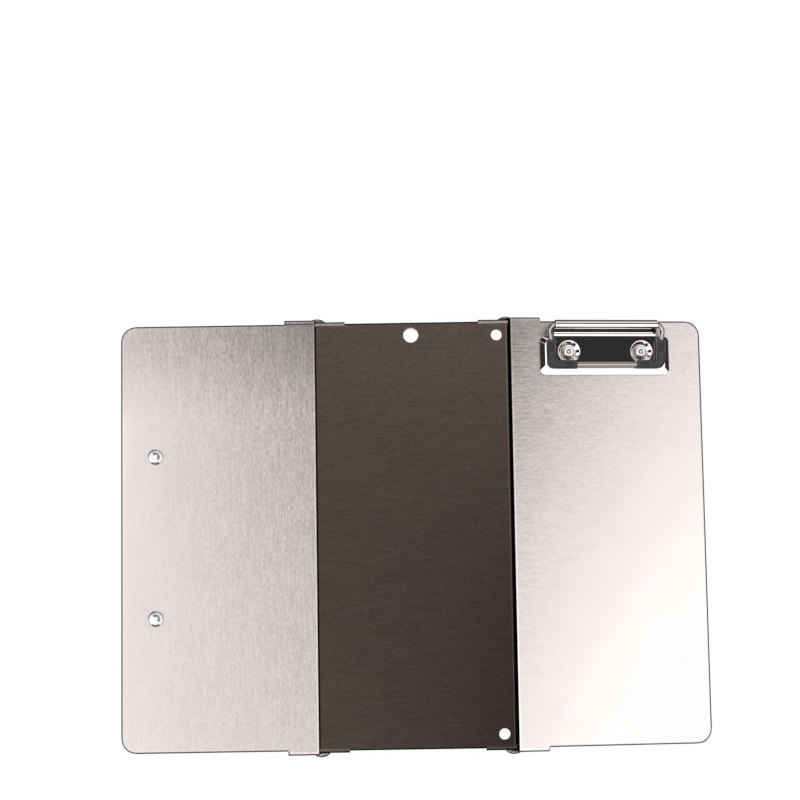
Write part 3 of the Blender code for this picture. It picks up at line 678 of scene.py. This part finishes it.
def rubber(name):
    material, graph = new_material(name)
    vector, _ = millimetres(graph)
    dust = noise(graph, vector, 1.1, 5.0)
    skin = bump(graph, noise(graph, vector, 9.0, 2.0), 0.04 * MM, 0.3)
    dusty = graph.step(dust, *DUST_BLEND)
    black = blend_colours(graph, dusty, (*RUBBER_BLACK, 1), (*RUBBER_DUST, 1))
    pressed = carried(graph, "pressed")
    # Painted highlight on the groove rims, painted shade in the grooves.
    groove_light_and_shade = 1 + graph.band(pressed, *GROOVE_RIM) * RIM_GAIN
    groove_light_and_shade = groove_light_and_shade - graph.step(pressed, *GROOVE_FLOOR) * FLOOR_DARK
    return surfaced(material, graph, scaled(graph, black, groove_light_and_shade), 0.22 + dust * 0.2, skin, 0.0)


CLIP_CHROME = polished("clip_chrome", (0.92, 0.86, 0.825), 0.03, 14, shaded=True)
# Painted shade: the wire's chrome is darker and browner than the plate's, for its dark
# reflections.
SHADED_WIRE_CHROME = polished("wire_chrome", (0.5, 0.45, 0.42), 0.01, 6)
RIVET_CHROME = polished("rivet_chrome", (0.93, 0.925, 0.93), 0.01, 3, 0.16, shaded=True)
SPRING_WIRE = polished("spring_wire", (0.5, 0.49, 0.48), 0.01, 3, 0.25)
RUBBER = rubber("black_rubber")
print("polished and rubber finishes made")

# %% [markdown]
# ## The clips' own frames
#
# Two clips of one kind sit on the board: the small one on the right panel's outer face, and
# the full-size one under the left panel. Both are easiest to draw in a frame of their own,
# with the barrel along X and the loop of wire reaching out along Y. The hinge of each loop is
# in the record, so it gives that frame.

# %% Clip frames and sizes
CLIP_SHEET = 0.8 * MM
FIT_GAP = 0.3 * MM
BAIL_FLARE = 1.2 * MM
BAIL_BEND = 4.2 * MM
BAIL_BOW = 1.0 * MM
SHOULDER_BEND = 6 * MM
BAIL_CORNER = 2.8 * MM
SLEEVE_LEG = 14 * MM
Clip = namedtuple(
    "Clip",
    "name body bail frame ends pan_length pan_back pan_front pan_height barrel_length barrel "
    "barrel_height rivet_span rivet_reach dimple arm reach drop tail wire sleeve",
)


def joint_named(name):
    return next(joint for joint in frame["joints"] if joint["name"] == name)


def clip_frame(joint_name, forward):
    """The joint's axis is X, forward is Y, and the origin lies in the middle of the barrel."""
    joint = joint_named(joint_name)
    across = Vector(joint["axis"])
    up = across.cross(forward)
    turn = Matrix((across, forward, up)).transposed().to_4x4()
    return Matrix.Translation(joint["pos_m"]) @ turn


def new_clip(name, body, bail, forward, ends, *sizes):
    """Sizes are in millimetres, in the order of the fields."""
    frame_of_clip = clip_frame(f"{bail}_lift", Vector(forward))
    return Clip(name, body, bail, frame_of_clip, ends, *[size * MM for size in sizes])


CLIPS = (
    new_clip(
        "small_clip", "right_side", "small_bail", (0, -1, 0), ("right", "left"),
        75, 6, 28.2, 3, 59, 2.6, 6.6, 42.1, 15, 6, 31.3, 22.8, 0.7, 19.5, 1.35, 2.6,
    ),
    new_clip(
        "main_clip", "left_side", "main_bail", (1, 0, 0), ("bottom", "top"),
        150, 7.4, 33.5, 2.4, 132, 3.3, 10.1, 91, 15.9, 5.6, 68, 27.5, 4.9, 48, 1.5, 2.5,
    ),
)
for clip in CLIPS:
    print(clip.name, "barrel at", [round(c / MM, 1) for c in clip.frame.translation], "mm")

# %% [markdown]
# ## Geometry Nodes: a wire that follows its corners
#
# The loop of each clip is one steel wire bent at four corners. A curve could be drawn by hand,
# but a bender works from corners and bend radii, and so does this tree: a chain of corner
# points carries its own bend radius, the tree rounds it, and sweeps a circle along it. The
# same tree makes both wires.


# %% Trees and how they are run
SOCKET_KINDS = {float: "Float", int: "Int", type(None): "Object"}


def new_tree(name, defaults):
    """An empty tree with an input for each labelled default, and one for the material."""
    tree = bpy.data.node_groups.new(name, "GeometryNodeTree")
    tree.interface.new_socket("Geometry", in_out="OUTPUT", socket_type="NodeSocketGeometry")
    kinds = [(label, SOCKET_KINDS[type(value)]) for label, value in defaults.items()]
    for label, kind in (("Geometry", "Geometry"), *kinds, ("Material", "Material")):
        socket = tree.interface.new_socket(label, in_out="INPUT", socket_type=f"NodeSocket{kind}")
        if defaults.get(label) is not None:
            socket.default_value = defaults[label]
    graph = Graph(tree)
    source = graph.node("NodeGroupInput").socket.node
    return graph, {socket.name: Value(graph, socket) for socket in source.outputs if socket.name}


def close_tree(graph, geometry, material):
    """Every tree ends alike: real geometry, and its material."""
    real = graph.node("GeometryNodeRealizeInstances", inputs={"Geometry": geometry})
    done = graph.node("GeometryNodeSetMaterial", inputs={"Geometry": real, "Material": material})
    graph.node("NodeGroupOutput", inputs={0: done})
    return graph.tree


def run_tree(tree, source, values):
    """The mesh that a tree makes from a source mesh and from values for its named inputs."""
    guide = in_scene("guide", source)
    modifier = guide.modifiers.new("Make", "NODES")
    modifier.node_group = tree
    inputs = [item for item in tree.interface.items_tree if item.in_out == "INPUT"]
    named = {item.name: item.identifier for item in inputs}
    for label, value in values.items():
        modifier[named[label]] = value
    return evaluated_mesh(guide)


def chain(points, bends=None):
    """A mesh of points joined in a row; each may carry its bend radius."""
    mesh = new_mesh("chain", points, [(i, i + 1) for i in range(len(points) - 1)])
    if bends:
        radius = mesh.attributes.new("bend", "FLOAT", "POINT")
        radius.data.foreach_set("value", bends)
    return mesh


def carried_by(graph, name, kind="FLOAT"):
    """What the points of a tree's source carry as an attribute."""
    return graph.node("GeometryNodeInputNamedAttribute", {"data_type": kind}, {"Name": name})


def rounded_path(graph, geometry, count):
    """The source's chain as a curve, rounded at each corner by its own bend radius."""
    curve = graph.node("GeometryNodeMeshToCurve", inputs={"Mesh": geometry})
    inputs = {"Curve": curve, "Count": count, "Radius": carried_by(graph, "bend")}
    return graph.node("GeometryNodeFilletCurve", {"mode": "POLY"}, inputs)


def swept(graph, path, radius, sides):
    """A circle swept along a path, with closed ends."""
    inputs = {"Resolution": sides, "Radius": radius}
    circle = graph.node("GeometryNodeCurvePrimitiveCircle", inputs=inputs)
    inputs = {"Curve": path, "Profile Curve": circle, "Fill Caps": True}
    return graph.node("GeometryNodeCurveToMesh", inputs=inputs)


# %% Wires
def bent_wire_tree():
    defaults = {"Wire radius": 1.0 * MM, "Steps in a bend": 12, "Sides": 28}
    graph, given = new_tree("bent_wire", defaults)
    path = rounded_path(graph, given["Geometry"], given["Steps in a bend"])
    wire = swept(graph, path, given["Wire radius"], given["Sides"])
    return close_tree(graph, wire, given["Material"])


def bail_corners(clip, side):
    root = Vector((side * (clip.arm + BAIL_FLARE), 0, 0))
    corner = Vector((side * clip.arm, clip.reach, -clip.drop))
    return root, corner


def outward(mesh):
    """Merges what lies together and turns every face outwards."""
    cage = bmesh.new()
    cage.from_mesh(mesh)
    bmesh.ops.remove_doubles(cage, verts=cage.verts, dist=0.002 * MM)
    bmesh.ops.recalc_face_normals(cage, faces=cage.faces)
    cage.to_mesh(mesh)
    cage.free()
    return mesh


wire_tree = bent_wire_tree()
half_bends = [0, BAIL_BEND, SHOULDER_BEND, BAIL_CORNER]
for clip in CLIPS:
    halves = []
    for side in (-1, 1):
        root, corner = bail_corners(clip, side)
        tail = Vector((side * clip.tail, 0, 0))
        bowed_root = root + Vector((side * BAIL_BOW, 0, 0))
        shoulder = corner + (root - corner).normalized() * SLEEVE_LEG
        halves.append([tail, bowed_root, shoulder, corner])
    source = chain(halves[0] + halves[1][::-1], half_bends + half_bends[::-1])
    values = {"Wire radius": clip.wire, "Steps in a bend": 14, "Sides": 32}
    mesh = outward(run_tree(wire_tree, source, {**values, "Material": SHADED_WIRE_CHROME}))
    mesh.transform(clip.frame)
    bail = f"{clip.name}_bail"
    new_piece(f"{clip.name}_wire", smooth(mesh), SHADED_WIRE_CHROME, clip.bail, "wire_chrome", bail)

# %% [markdown]
# ## Geometry Nodes: grooved rubber sleeves
#
# A moulded rubber sleeve covers each corner of the wire, with fine grooves along the middle
# of each leg so that fingers don't slip. The tree sweeps a circle round the corner as before.
# Before the sweep it notes how far along the path each point is, and afterwards, from the way
# each point faces, how far round the circle. Where both fit, it presses the grooves in, and
# notes the depth, from which the rubber gets painted shade in the grooves and painted
# highlights on their rims.


# %% Sleeves
BORE_OVERRUN = 1 * MM
BORE_GAP = 0.12 * MM
SLEEVE_TRIM = 0.02 * MM
SLEEVE_STEP = 0.35 * MM
SLEEVE_SIDES, BORE_SIDES, CORNER_STEPS = 160, 40, 14
GROOVE_FADE = 0.6 * MM
GROOVED_LEAN = (0.75, 0.85)
GROOVE_WALL = (-0.6, 0.3)


def stored(graph, geometry, name, value):
    settings = {"data_type": "FLOAT", "domain": "POINT"}
    inputs = {"Geometry": geometry, "Name": name, "Value": value}
    return graph.node("GeometryNodeStoreNamedAttribute", settings, inputs)


def grooved_sleeve_tree():
    defaults = {
        "Sleeve radius": 2.5 * MM,
        "Bore radius": 1.5 * MM,
        "Length": 28 * MM,
        "Groove depth": 0.3 * MM,
        "Groove start": 1.0 * MM,
        "Groove end": 7.5 * MM,
        "Grooves round": 19.0,
    }
    graph, given = new_tree("grooved_sleeve", defaults)
    path = rounded_path(graph, given["Geometry"], CORNER_STEPS)
    span = {0: path, 4: BORE_OVERRUN, 5: given["Length"] + BORE_OVERRUN}
    trimmed = graph.node("GeometryNodeTrimCurve", {"mode": "LENGTH"}, span)
    fine = {"Curve": trimmed, "Length": SLEEVE_STEP}
    fine_path = graph.node("GeometryNodeResampleCurve", {"mode": "LENGTH"}, fine)
    along = graph.node("GeometryNodeSplineParameter", output="Length")
    noted_path = stored(graph, fine_path, "along", along)
    outer = swept(graph, noted_path, given["Sleeve radius"], SLEEVE_SIDES)
    normal = graph.node("GeometryNodeInputNormal")
    facing = ({"operation": "DOT_PRODUCT"}, {0: normal, 1: (0, 0, 1)}, "Value")
    facing_up = graph.node("ShaderNodeVectorMath", *facing)
    lean = facing_up.maths("ARCCOSINE", facing_up, 0)
    wave = lean.maths("COSINE", lean * given["Grooves round"], 0)
    place = carried_by(graph, "along")
    start, end = given["Groove start"], given["Groove end"]
    legs = 0
    for distance in (place, given["Length"] - place):
        ended = graph.step(distance, end - GROOVE_FADE, end)
        legs = graph.step(distance, start, start + GROOVE_FADE) * (1 - ended) + legs
    pressed = legs * (1 - graph.step(lean, *GROOVED_LEAN)) * graph.step(wave, *GROOVE_WALL)
    inward = scaled(graph, normal, pressed * given["Groove depth"] * -1)
    grooved = graph.node(
        "GeometryNodeSetPosition",
        inputs={"Geometry": stored(graph, outer, "pressed", pressed), "Offset": inward},
    )
    bore = swept(graph, path, given["Bore radius"], BORE_SIDES)
    cut = {"operation": "DIFFERENCE", "solver": "EXACT"}
    bored = graph.node("GeometryNodeMeshBoolean", cut, {"Mesh 1": grooved, "Mesh 2": bore})
    return close_tree(graph, bored, given["Material"])


sleeve_tree = grooved_sleeve_tree()
for clip in CLIPS:
    for side, end_name in zip((-1, 1), clip.ends):
        root, corner = bail_corners(clip, side)
        leg = SLEEVE_LEG + BORE_OVERRUN
        up_arm = (root - corner).normalized() * leg
        along_bar = Vector((-side, 0, 0)) * leg
        corners = [corner + up_arm, corner, corner + along_bar]
        values = {
            "Sleeve radius": clip.sleeve - SLEEVE_TRIM,
            "Bore radius": clip.wire + BORE_GAP,
            "Length": 2 * SLEEVE_LEG - BAIL_CORNER * (2 - math.pi / 2),
            "Material": RUBBER,
        }
        mesh = outward(run_tree(sleeve_tree, chain(corners, [0, BAIL_CORNER, 0]), values))
        mesh.transform(clip.frame)
        name = f"{clip.name}_sleeve_{end_name}"
        new_piece(f"{name}_rubber", smooth(mesh), RUBBER, clip.bail, "black_rubber", name)

# %% [markdown]
# ## Geometry Nodes: springs
#
# A torsion spring lies in each barrel and pulls the loop shut. Only its ends show, deep in the
# barrel. Blender's own spiral gives the coil, and a circle swept along it gives the wire.


# %% Springs
def spring_tree():
    sizes = {"Coil radius": 1.2 * MM, "Length": 30 * MM, "Wire radius": 0.25 * MM}
    graph, given = new_tree("torsion_spring", {"Turns": 15.0, **sizes})
    inputs = {
        "Resolution": 24,
        "Rotations": given["Turns"],
        "Start Radius": given["Coil radius"],
        "End Radius": given["Coil radius"],
        "Height": given["Length"],
    }
    coil = graph.node("GeometryNodeCurveSpiral", inputs=inputs)
    wire = swept(graph, coil, given["Wire radius"], 10)
    down = graph.node("ShaderNodeCombineXYZ", inputs={"Z": given["Length"] * -0.5})
    centred = graph.node("GeometryNodeTransform", inputs={"Geometry": wire, "Translation": down})
    return close_tree(graph, centred, given["Material"])


# Turns, and in millimetres the coil's radius, its length and the wire's radius.
SPRINGS = {"small_clip": (14.0, 1.2, 37.5, 0.25), "main_clip": (18.0, 1.75, 94, 0.4)}
coil_tree = spring_tree()
for clip in CLIPS:
    turns, *sizes = SPRINGS[clip.name]
    radius, length, wire = [size * MM for size in sizes]
    values = {"Turns": turns, "Coil radius": radius, "Length": length, "Wire radius": wire}
    values["Material"] = SPRING_WIRE
    mesh = outward(run_tree(coil_tree, bpy.data.meshes.new("empty"), values))
    mesh.transform(clip.frame @ Matrix.Rotation(math.pi / 2, 4, "Y"))
    spring = f"{clip.name}_spring"
    new_piece(f"{clip.name}_coil", smooth(mesh), SPRING_WIRE, clip.body, "spring_wire", spring)

# %% [markdown]
# ## Rivets
#
# A rivet is turned, so its profile goes round an axis once. The profile's corners are rounded
# first, because a pressed rivet has no sharp edge. Then Geometry Nodes put a copy on each
# seat of a body, turned as the seat says, and the copies become one piece for that body.


# %% Turned rivets
def rounded(corners, steps=4):
    """Corners, each a point of radius and height with its fillet, as a smooth profile."""
    path = []
    for index, (point, fillet) in enumerate(corners):
        corner = Vector(point)
        if not fillet:
            path.append(corner)
            continue
        back = Vector(corners[index - 1][0]) - corner
        ahead = Vector(corners[index + 1][0]) - corner
        reach = min(fillet, back.length / 2, ahead.length / 2)
        start = corner + back.normalized() * reach
        end = corner + ahead.normalized() * reach
        for step in range(steps + 1):
            t = step / steps
            path.append(start * (1 - t) ** 2 + corner * 2 * t * (1 - t) + end * t**2)
    return path


def turned(profile, steps=48):
    """A profile of radius and height, top to bottom down its outer side, turned about Z."""
    mesh = chain([(radius, 0, height) for radius, height in profile])
    settings = {"steps": steps, "render_steps": steps}
    settings.update(use_merge_vertices=True, merge_threshold=WELD)
    return smooth(outward(shaped(mesh, ("SCREW", settings))))


def seats_tree():
    graph, given = new_tree("rivets_on_seats", {"Rivet": None})
    source = {"Object": given["Rivet"]}
    rivet = graph.node("GeometryNodeObjectInfo", inputs=source, output="Geometry")
    turn = carried_by(graph, "turn", "QUATERNION")
    inputs = {"Points": given["Geometry"], "Instance": rivet, "Rotation": turn}
    placed = graph.node("GeometryNodeInstanceOnPoints", inputs=inputs)
    return close_tree(graph, placed, given["Material"])


def on_seats(rivet_mesh, seats, material):
    """One mesh with the rivet on every seat, each a matrix."""
    rivet = in_scene("rivet", rivet_mesh)
    points = new_mesh("seats", [seat.translation for seat in seats])
    turn = points.attributes.new("turn", "QUATERNION", "POINT")
    for item, seat in zip(turn.data, seats):
        item.value = seat.to_quaternion()
    mesh = run_tree(rivet_tree, points, {"Rivet": rivet, "Material": material})
    bpy.data.objects.remove(rivet)
    return mesh


rivet_tree = seats_tree()

# %% Hinge rivets
PIVOT_SHANK = 1.7 * MM
PIVOT_HEAD = 3.8 * MM
PIVOT_HEAD_HEIGHT = 1.3 * MM
PIVOT_TAIL = 2.6 * MM
PIVOT_TAIL_HEIGHT = 0.7 * MM
HEAD_BASE = 122.7 * MM
TAIL_BASE = 119.3 * MM
DOME_STEPS, DOME_FULLNESS = 12, 1.3


def hinge_rivet():
    """Domed head outside the ears, shank through both, flat tail inside."""
    dome = []
    for step in range(DOME_STEPS + 1):
        angle = math.pi / 2 * step / DOME_STEPS
        rise = PIVOT_HEAD_HEIGHT * math.cos(angle) ** DOME_FULLNESS
        dome.append(Vector((PIVOT_HEAD * math.sin(angle), HEAD_BASE + rise)))
    corners = [((PIVOT_SHANK, HEAD_BASE), 0), ((PIVOT_SHANK, TAIL_BASE), 0)]
    foot = TAIL_BASE - PIVOT_TAIL_HEIGHT
    corners += [((PIVOT_TAIL, TAIL_BASE), 0.15 * MM), ((PIVOT_TAIL, foot), 0.3 * MM)]
    corners.append(((0, foot), 0))
    return turned(dome + rounded(corners))


def plain_shade(graph, x, y, z):
    """The same tone all over, and no outline."""
    return 1 - x * 0, 1


seats, replaced = [], []
for side in ("left", "right"):
    pivot = Vector(joint_named(f"{side}_fold")["pos_m"])
    for end, end_name in ((1, "top"), (-1, "bottom")):
        turn = Matrix.Rotation(-end * math.pi / 2, 4, "X")
        seats.append(Matrix.Translation(pivot) @ turn)
        replaced.append(f"hinge_rivet_{end_name}_{side}")
WARM_RIVET, COOL_RIVET = (0.66, 0.63, 0.62), (0.64, 0.63, 0.61)
rivet_steel = brushed_steel(
    "rivet_steel", WARM_RIVET, COOL_RIVET, False, (0.3, 0, 0.3), plain_shade, roughness=0.2
)
mesh = on_seats(hinge_rivet(), seats, rivet_steel)
new_piece("hinge_rivets", mesh, rivet_steel, "middle", "rivet_steel", *replaced)

# %% [markdown]
# ## Rivets of the clips
#
# These are turned too, and put on their seats by the same tree. Their tails and dished heads
# are mirrors a few millimetres across, with creases that no studio gets right. So each point
# of the mesh notes a painted shade, painted reflections and painted shade in the creases,
# worked out from how far it is from its rivet's axis and in which direction, and the chrome
# reads it.

# %% Clip rivets
RIVET_SHANK = 1.8 * MM
RIVET_HEAD = 4.4 * MM
RIVET_HEAD_HEIGHT = 1.3 * MM
RIVET_TAIL = 3.1 * MM
RIVET_TAIL_HEIGHT = 1.1 * MM
TAIL_LEVEL = 1.4 * MM
HEAD_LEVEL = -1.1 * MM
HEAD_DARKEST = 0.92
# Painted dark reflections of a head, as crescents: from where to where along the radius, as
# shares, and the softness; from where to where round it, in degrees, and the softness; and
# the depth.
HEAD_PAINTED_REFLECTIONS = (
    ((0.84, 1.1, 0.08), (100, 165, 15), 0.85),
    ((0.9, 1.1, 0.06), (5, 90, 12), 0.5),
    ((0.3, 0.55, 0.12), (-35, 120, 20), 0.75),
    ((0.66, 0.86, 0.06), (40, 130, 12), 0.3),
    ((0.76, 1.1, 0.08), (-120, -62, 12), 0.8),
)
# The same of a tail, painted shade in its crease and a painted reflection in its hollow:
# where its crease, its hollow's rim and the hollow's middle fade.
TAIL_CREASE, TAIL_CREASE_DARK = (0.86, 0.95), 0.8
TAIL_RIM, TAIL_MIDDLE, TAIL_HOLLOW_DARK = (0.42, 0.55), (0.1, 0.22), 0.6


def clip_rivet():
    """Formed tail in the dimple, shank through plate and panel, broad dished head behind."""
    tail = ((0, 0.45), (0.3, 0.4), (0.52, 1), (0.8, 0.95), (1, 0.45), (1, 0))
    head = ((1, 0), (0.96, 0.45), (0.72, 1), (0.52, 0.98), (0.28, 0.5), (0, 0.38))
    corners = [((RIVET_TAIL * u, TAIL_LEVEL + RIVET_TAIL_HEIGHT * v), 0.5 * MM) for u, v in tail]
    corners += [((RIVET_SHANK, TAIL_LEVEL), 0), ((RIVET_SHANK, HEAD_LEVEL), 0)]
    corners += [((RIVET_HEAD * u, HEAD_LEVEL - RIVET_HEAD_HEIGHT * v), 0.6 * MM) for u, v in head]
    corners[0] = (corners[0][0], 0)
    corners[-1] = (corners[-1][0], 0)
    return turned(rounded(corners, steps=6), steps=64)


def ease_in(value, low, high):
    share = min(max((value - low) / (high - low), 0), 1)
    return share * share * (3 - 2 * share)


def between(value, low, high, soft):
    return ease_in(value, low - soft, low) * (1 - ease_in(value, high, high + soft))


def tail_shade(share):
    """A formed tail: painted shade in the crease round it, a bright ring, and a painted grey
    reflection in its hollow.
    """
    hollow = (1 - ease_in(share, *TAIL_RIM)) * ease_in(share, *TAIL_MIDDLE)
    return 1 - ease_in(share, *TAIL_CREASE) * TAIL_CREASE_DARK - hollow * TAIL_HOLLOW_DARK


def head_shade(share, angle):
    """A dished head, with painted dark reflections as crescents in its hollow and at its edge."""
    dark = 0
    for along_radius, round_axis, depth in HEAD_PAINTED_REFLECTIONS:
        dark += between(share, *along_radius) * between(angle, *round_axis) * depth
    return 1 - min(dark, HEAD_DARKEST)


def note_shades(mesh, seats):
    """Notes a painted shade on the tail's side and on the head's side of each rivet's seat."""
    noted = mesh.attributes.new("shade", "FLOAT", "POINT")
    shades = []
    for vertex in mesh.vertices:
        seat = min(seats, key=lambda seat: (vertex.co - seat.translation).length)
        away = vertex.co - seat.translation
        local = seat.inverted() @ vertex.co
        radius = math.hypot(local.x, local.y)
        if local.z > 0:
            shades.append(tail_shade(radius / RIVET_TAIL))
        else:
            angle = math.degrees(math.atan2(away.y, away.x))
            shades.append(head_shade(radius / RIVET_HEAD, angle))
    noted.data.foreach_set("value", shades)


for clip in CLIPS:
    seats = []
    for side in (-1, 1):
        place = (side * clip.rivet_span / 2, clip.rivet_reach, -clip.barrel_height)
        seats.append(clip.frame @ Matrix.Translation(place))
    mesh = on_seats(clip_rivet(), seats, RIVET_CHROME)
    note_shades(mesh, seats)
    replaced = [f"{clip.name}_rivet_{end}" for end in clip.ends]
    new_piece(f"{clip.name}_rivets", mesh, RIVET_CHROME, clip.body, "rivet_chrome", *replaced)

# %% [markdown]
# ## Clip plates
#
# Each clip's plate is one pressed sheet: a pan with rounded rims, a neck that curls into the
# barrel, and two dimples that hold the rivets. A mirror shows every facet, so the plate is
# made again from the frame's sizes with far finer curves. The pan is a stack of rounded
# rectangles given a thickness, the neck is one section drawn along the barrel, and Booleans
# join them and press the dimples. Then the normals follow the broad faces, so that the flat
# mirrors like a flat. Last, the faces note a painted shade: dark inside the barrel and in the
# neck's hollow, where little light comes, and a dark line along the neck that is a painted
# reflection.

# %% Plates
PAN_CORNER = 3.2 * MM
SIDE_SLOPE = 3.7 * MM
FRONT_SLOPE = 3.5 * MM
BACK_SLOPE = 2.4 * MM
SLOPE_SHARE, SLOPE_RISE_SHARE = 0.68, 0.82
CURL_TURN_SHARE = 0.8
NECK_SINK = 0.02 * MM
DIMPLE_FLOOR = 3.7 * MM
DIMPLE_FLARE = 0.45 * MM
LIP = FIT_GAP + CLIP_SHEET
PLATE_EASE = 0.15 * MM
CURL_STEPS, NECK_STEPS, DIMPLE_STEPS = 72, 24, 96
# Painted shade inside the barrel, on its ends and along the neck.
BARREL_SHADE, BARREL_END_SHADE, NECK_SHADE = 0.04, 0.12, 0.07
# Painted dark lines along the neck, painted shade in its hollow and a painted reflection beyond
# it, by how far in front of the barrel they start and end.
NECK_PAINTED_LINES = ((-10 * MM, 1.5 * MM), (1.95 * MM, 2.45 * MM))


def arc(centre, radius, start, turn, steps):
    angles = [start + turn * step / steps for step in range(steps + 1)]
    return [centre + radius * Vector((math.cos(a), math.sin(a))) for a in angles]


def rounded_rectangle(x_low, x_high, y_low, y_high, radius, steps=14):
    points = []
    corners = ((x_high, y_high, 0), (x_low, y_high, 1), (x_low, y_low, 2), (x_high, y_low, 3))
    for x, y, quarter in corners:
        inward = Vector((-radius if x == x_high else radius, -radius if y == y_high else radius))
        points += arc(Vector((x, y)) + inward, radius, quarter * math.pi / 2, math.pi / 2, steps)
    return points


def rim_shares(steps=10):
    """Inset and rise across the rim: a straight slope, then a round into the flat."""
    start = Vector((SLOPE_SHARE, SLOPE_RISE_SHARE))
    bend = Vector((SLOPE_SHARE + (1 - SLOPE_RISE_SHARE) * SLOPE_SHARE / SLOPE_RISE_SHARE, 1))
    curve = [
        start * (1 - t) ** 2 + bend * 2 * t * (1 - t) + Vector((1, 1)) * t**2
        for t in [step / steps for step in range(steps + 1)]
    ]
    return [Vector((0, 0)), start / 2] + curve


def pan(clip):
    mesh = bpy.data.meshes.new("pan")
    cage = bmesh.new()
    rings = []
    for inset, rise in rim_shares():
        side = clip.pan_length / 2 - inset * SIDE_SLOPE
        back = clip.pan_back + inset * BACK_SLOPE
        front = clip.pan_front - inset * FRONT_SLOPE
        height = LIP + rise * (clip.pan_height - LIP)
        outline = rounded_rectangle(-side, side, back, front, PAN_CORNER)
        rings.append([cage.verts.new((x, y, height)) for x, y in outline])
    for lower, upper in zip(rings, rings[1:]):
        for index in range(len(lower)):
            after = (index + 1) % len(lower)
            cage.faces.new((lower[index], lower[after], upper[after], upper[index]))
    cage.faces.new(rings[-1])
    cage.to_mesh(mesh)
    cage.free()
    sheet = {"thickness": CLIP_SHEET, "offset": -1, "use_even_offset": True}
    return eased(shaped(mesh, ("SOLIDIFY", sheet)), PLATE_EASE)


def neck(clip):
    """The section of the neck and its curl, drawn along the barrel."""
    curl = clip.barrel - CLIP_SHEET / 2
    flat_level = clip.pan_height - CLIP_SHEET / 2 - NECK_SINK
    rise = clip.barrel_height - flat_level
    foot = Vector((curl + rise, clip.barrel_height))
    turn = 2 * math.pi * CURL_TURN_SHARE
    path = arc(Vector((0, clip.barrel_height)), curl, turn, -turn, CURL_STEPS)
    path += arc(foot, rise, math.pi, math.pi / 2, NECK_STEPS)[1:]
    pan_reach = max(clip.pan_back + BACK_SLOPE, foot.x)
    path.append(Vector((pan_reach + CLIP_SHEET, flat_level)))
    sides = ([], [])
    for index, point in enumerate(path):
        along = (path[min(index + 1, len(path) - 1)] - path[max(index - 1, 0)]).normalized()
        across = Vector((-along.y, along.x)) * CLIP_SHEET / 2
        sides[0].append(point + across)
        sides[1].append(point - across)
    outline = sides[0] + sides[1][::-1]
    half = clip.barrel_length / 2
    count = len(outline)
    points = [(x, y, z) for x in (-half, half) for y, z in outline]
    faces = [(i, (i + 1) % count, (i + 1) % count + count, i + count) for i in range(count)]
    faces += [tuple(range(count))[::-1], tuple(range(count, 2 * count))]
    return outward(new_mesh("neck", points, faces=faces))


def combined(mesh, operation, other):
    tool = in_scene("tool", other)
    settings = {"operation": operation, "solver": "EXACT", "object": tool}
    result = shaped(mesh, ("BOOLEAN", settings))
    bpy.data.objects.remove(tool)
    return result


def dimple_tools(clip):
    """A boss to join on under the flat, and a recess with a bore to cut."""
    flat = clip.pan_height
    steepness = (clip.dimple - DIMPLE_FLOOR) / (flat - LIP)
    bore = RIVET_SHANK + FIT_GAP
    middle = CLIP_SHEET / 2
    boss = [(0, flat - middle), (clip.dimple + middle * steepness, flat - middle)]
    boss += [(DIMPLE_FLOOR, LIP - CLIP_SHEET), (0, LIP - CLIP_SHEET)]
    above, below = flat + 1 * MM, LIP - 2 * CLIP_SHEET
    recess = [
        ((0, above), 0),
        ((clip.dimple + 4 * DIMPLE_FLARE, above), 0),
        ((clip.dimple + DIMPLE_FLARE, flat + 0.01 * MM), 0.3 * MM),
        ((clip.dimple, flat - 0.12 * MM), 0.3 * MM),
        ((DIMPLE_FLOOR, LIP), 0.35 * MM),
        ((bore, LIP), 0),
        ((bore, below), 0),
        ((0, below), 0),
    ]
    boss = turned([Vector(point) for point in boss], DIMPLE_STEPS)
    return boss, turned(rounded(recess, 5), DIMPLE_STEPS)


def painted_plate_shade(clip, centre, normal):
    """The painted shade of one face of a plate, in the plate's own frame."""
    x, y, z = centre
    half = clip.barrel_length / 2
    near_axis = math.hypot(y, z - clip.barrel_height)
    if near_axis < clip.barrel * 1.02 and abs(x) < half + 0.01 * MM:
        if near_axis < clip.barrel - CLIP_SHEET * 0.75:
            return BARREL_SHADE
        return BARREL_END_SHADE if abs(normal.x) > 0.8 else 1.0
    on_neck = abs(x) < half - 0.4 * MM and y > clip.barrel * 1.02 and normal.z > 0.1
    forward = y - clip.barrel
    on_painted_line = any(start < forward < end for start, end in NECK_PAINTED_LINES)
    return NECK_SHADE if on_neck and on_painted_line else 1.0


def note_painted_plate_shade(mesh, clip):
    noted = mesh.attributes.new("shade", "FLOAT", "FACE")
    shades = [painted_plate_shade(clip, face.center, face.normal) for face in mesh.polygons]
    noted.data.foreach_set("value", shades)


for clip in CLIPS:
    mesh = combined(pan(clip), "UNION", neck(clip))
    for side in (-1, 1):
        place = Matrix.Translation((side * clip.rivet_span / 2, clip.rivet_reach, 0))
        for operation, tool in zip(("UNION", "DIFFERENCE"), dimple_tools(clip)):
            tool.transform(place)
            mesh = combined(mesh, operation, tool)
    mesh = even(outward(mesh))
    note_painted_plate_shade(mesh, clip)
    mesh.transform(clip.frame @ Matrix.Translation((0, 0, -clip.barrel_height)))
    plate = f"{clip.name}_plate"
    new_piece(f"{clip.name}_pressing", mesh, CLIP_CHROME, clip.body, "clip_chrome", plate)

# %% [markdown]
# ## Sizes and the end
#
# The box of the frame is printed, in millimetres.

# %% Finish
print("frame", [round(c / MM, 1) for c in cad_box[1] - cad_box[0]], "mm")
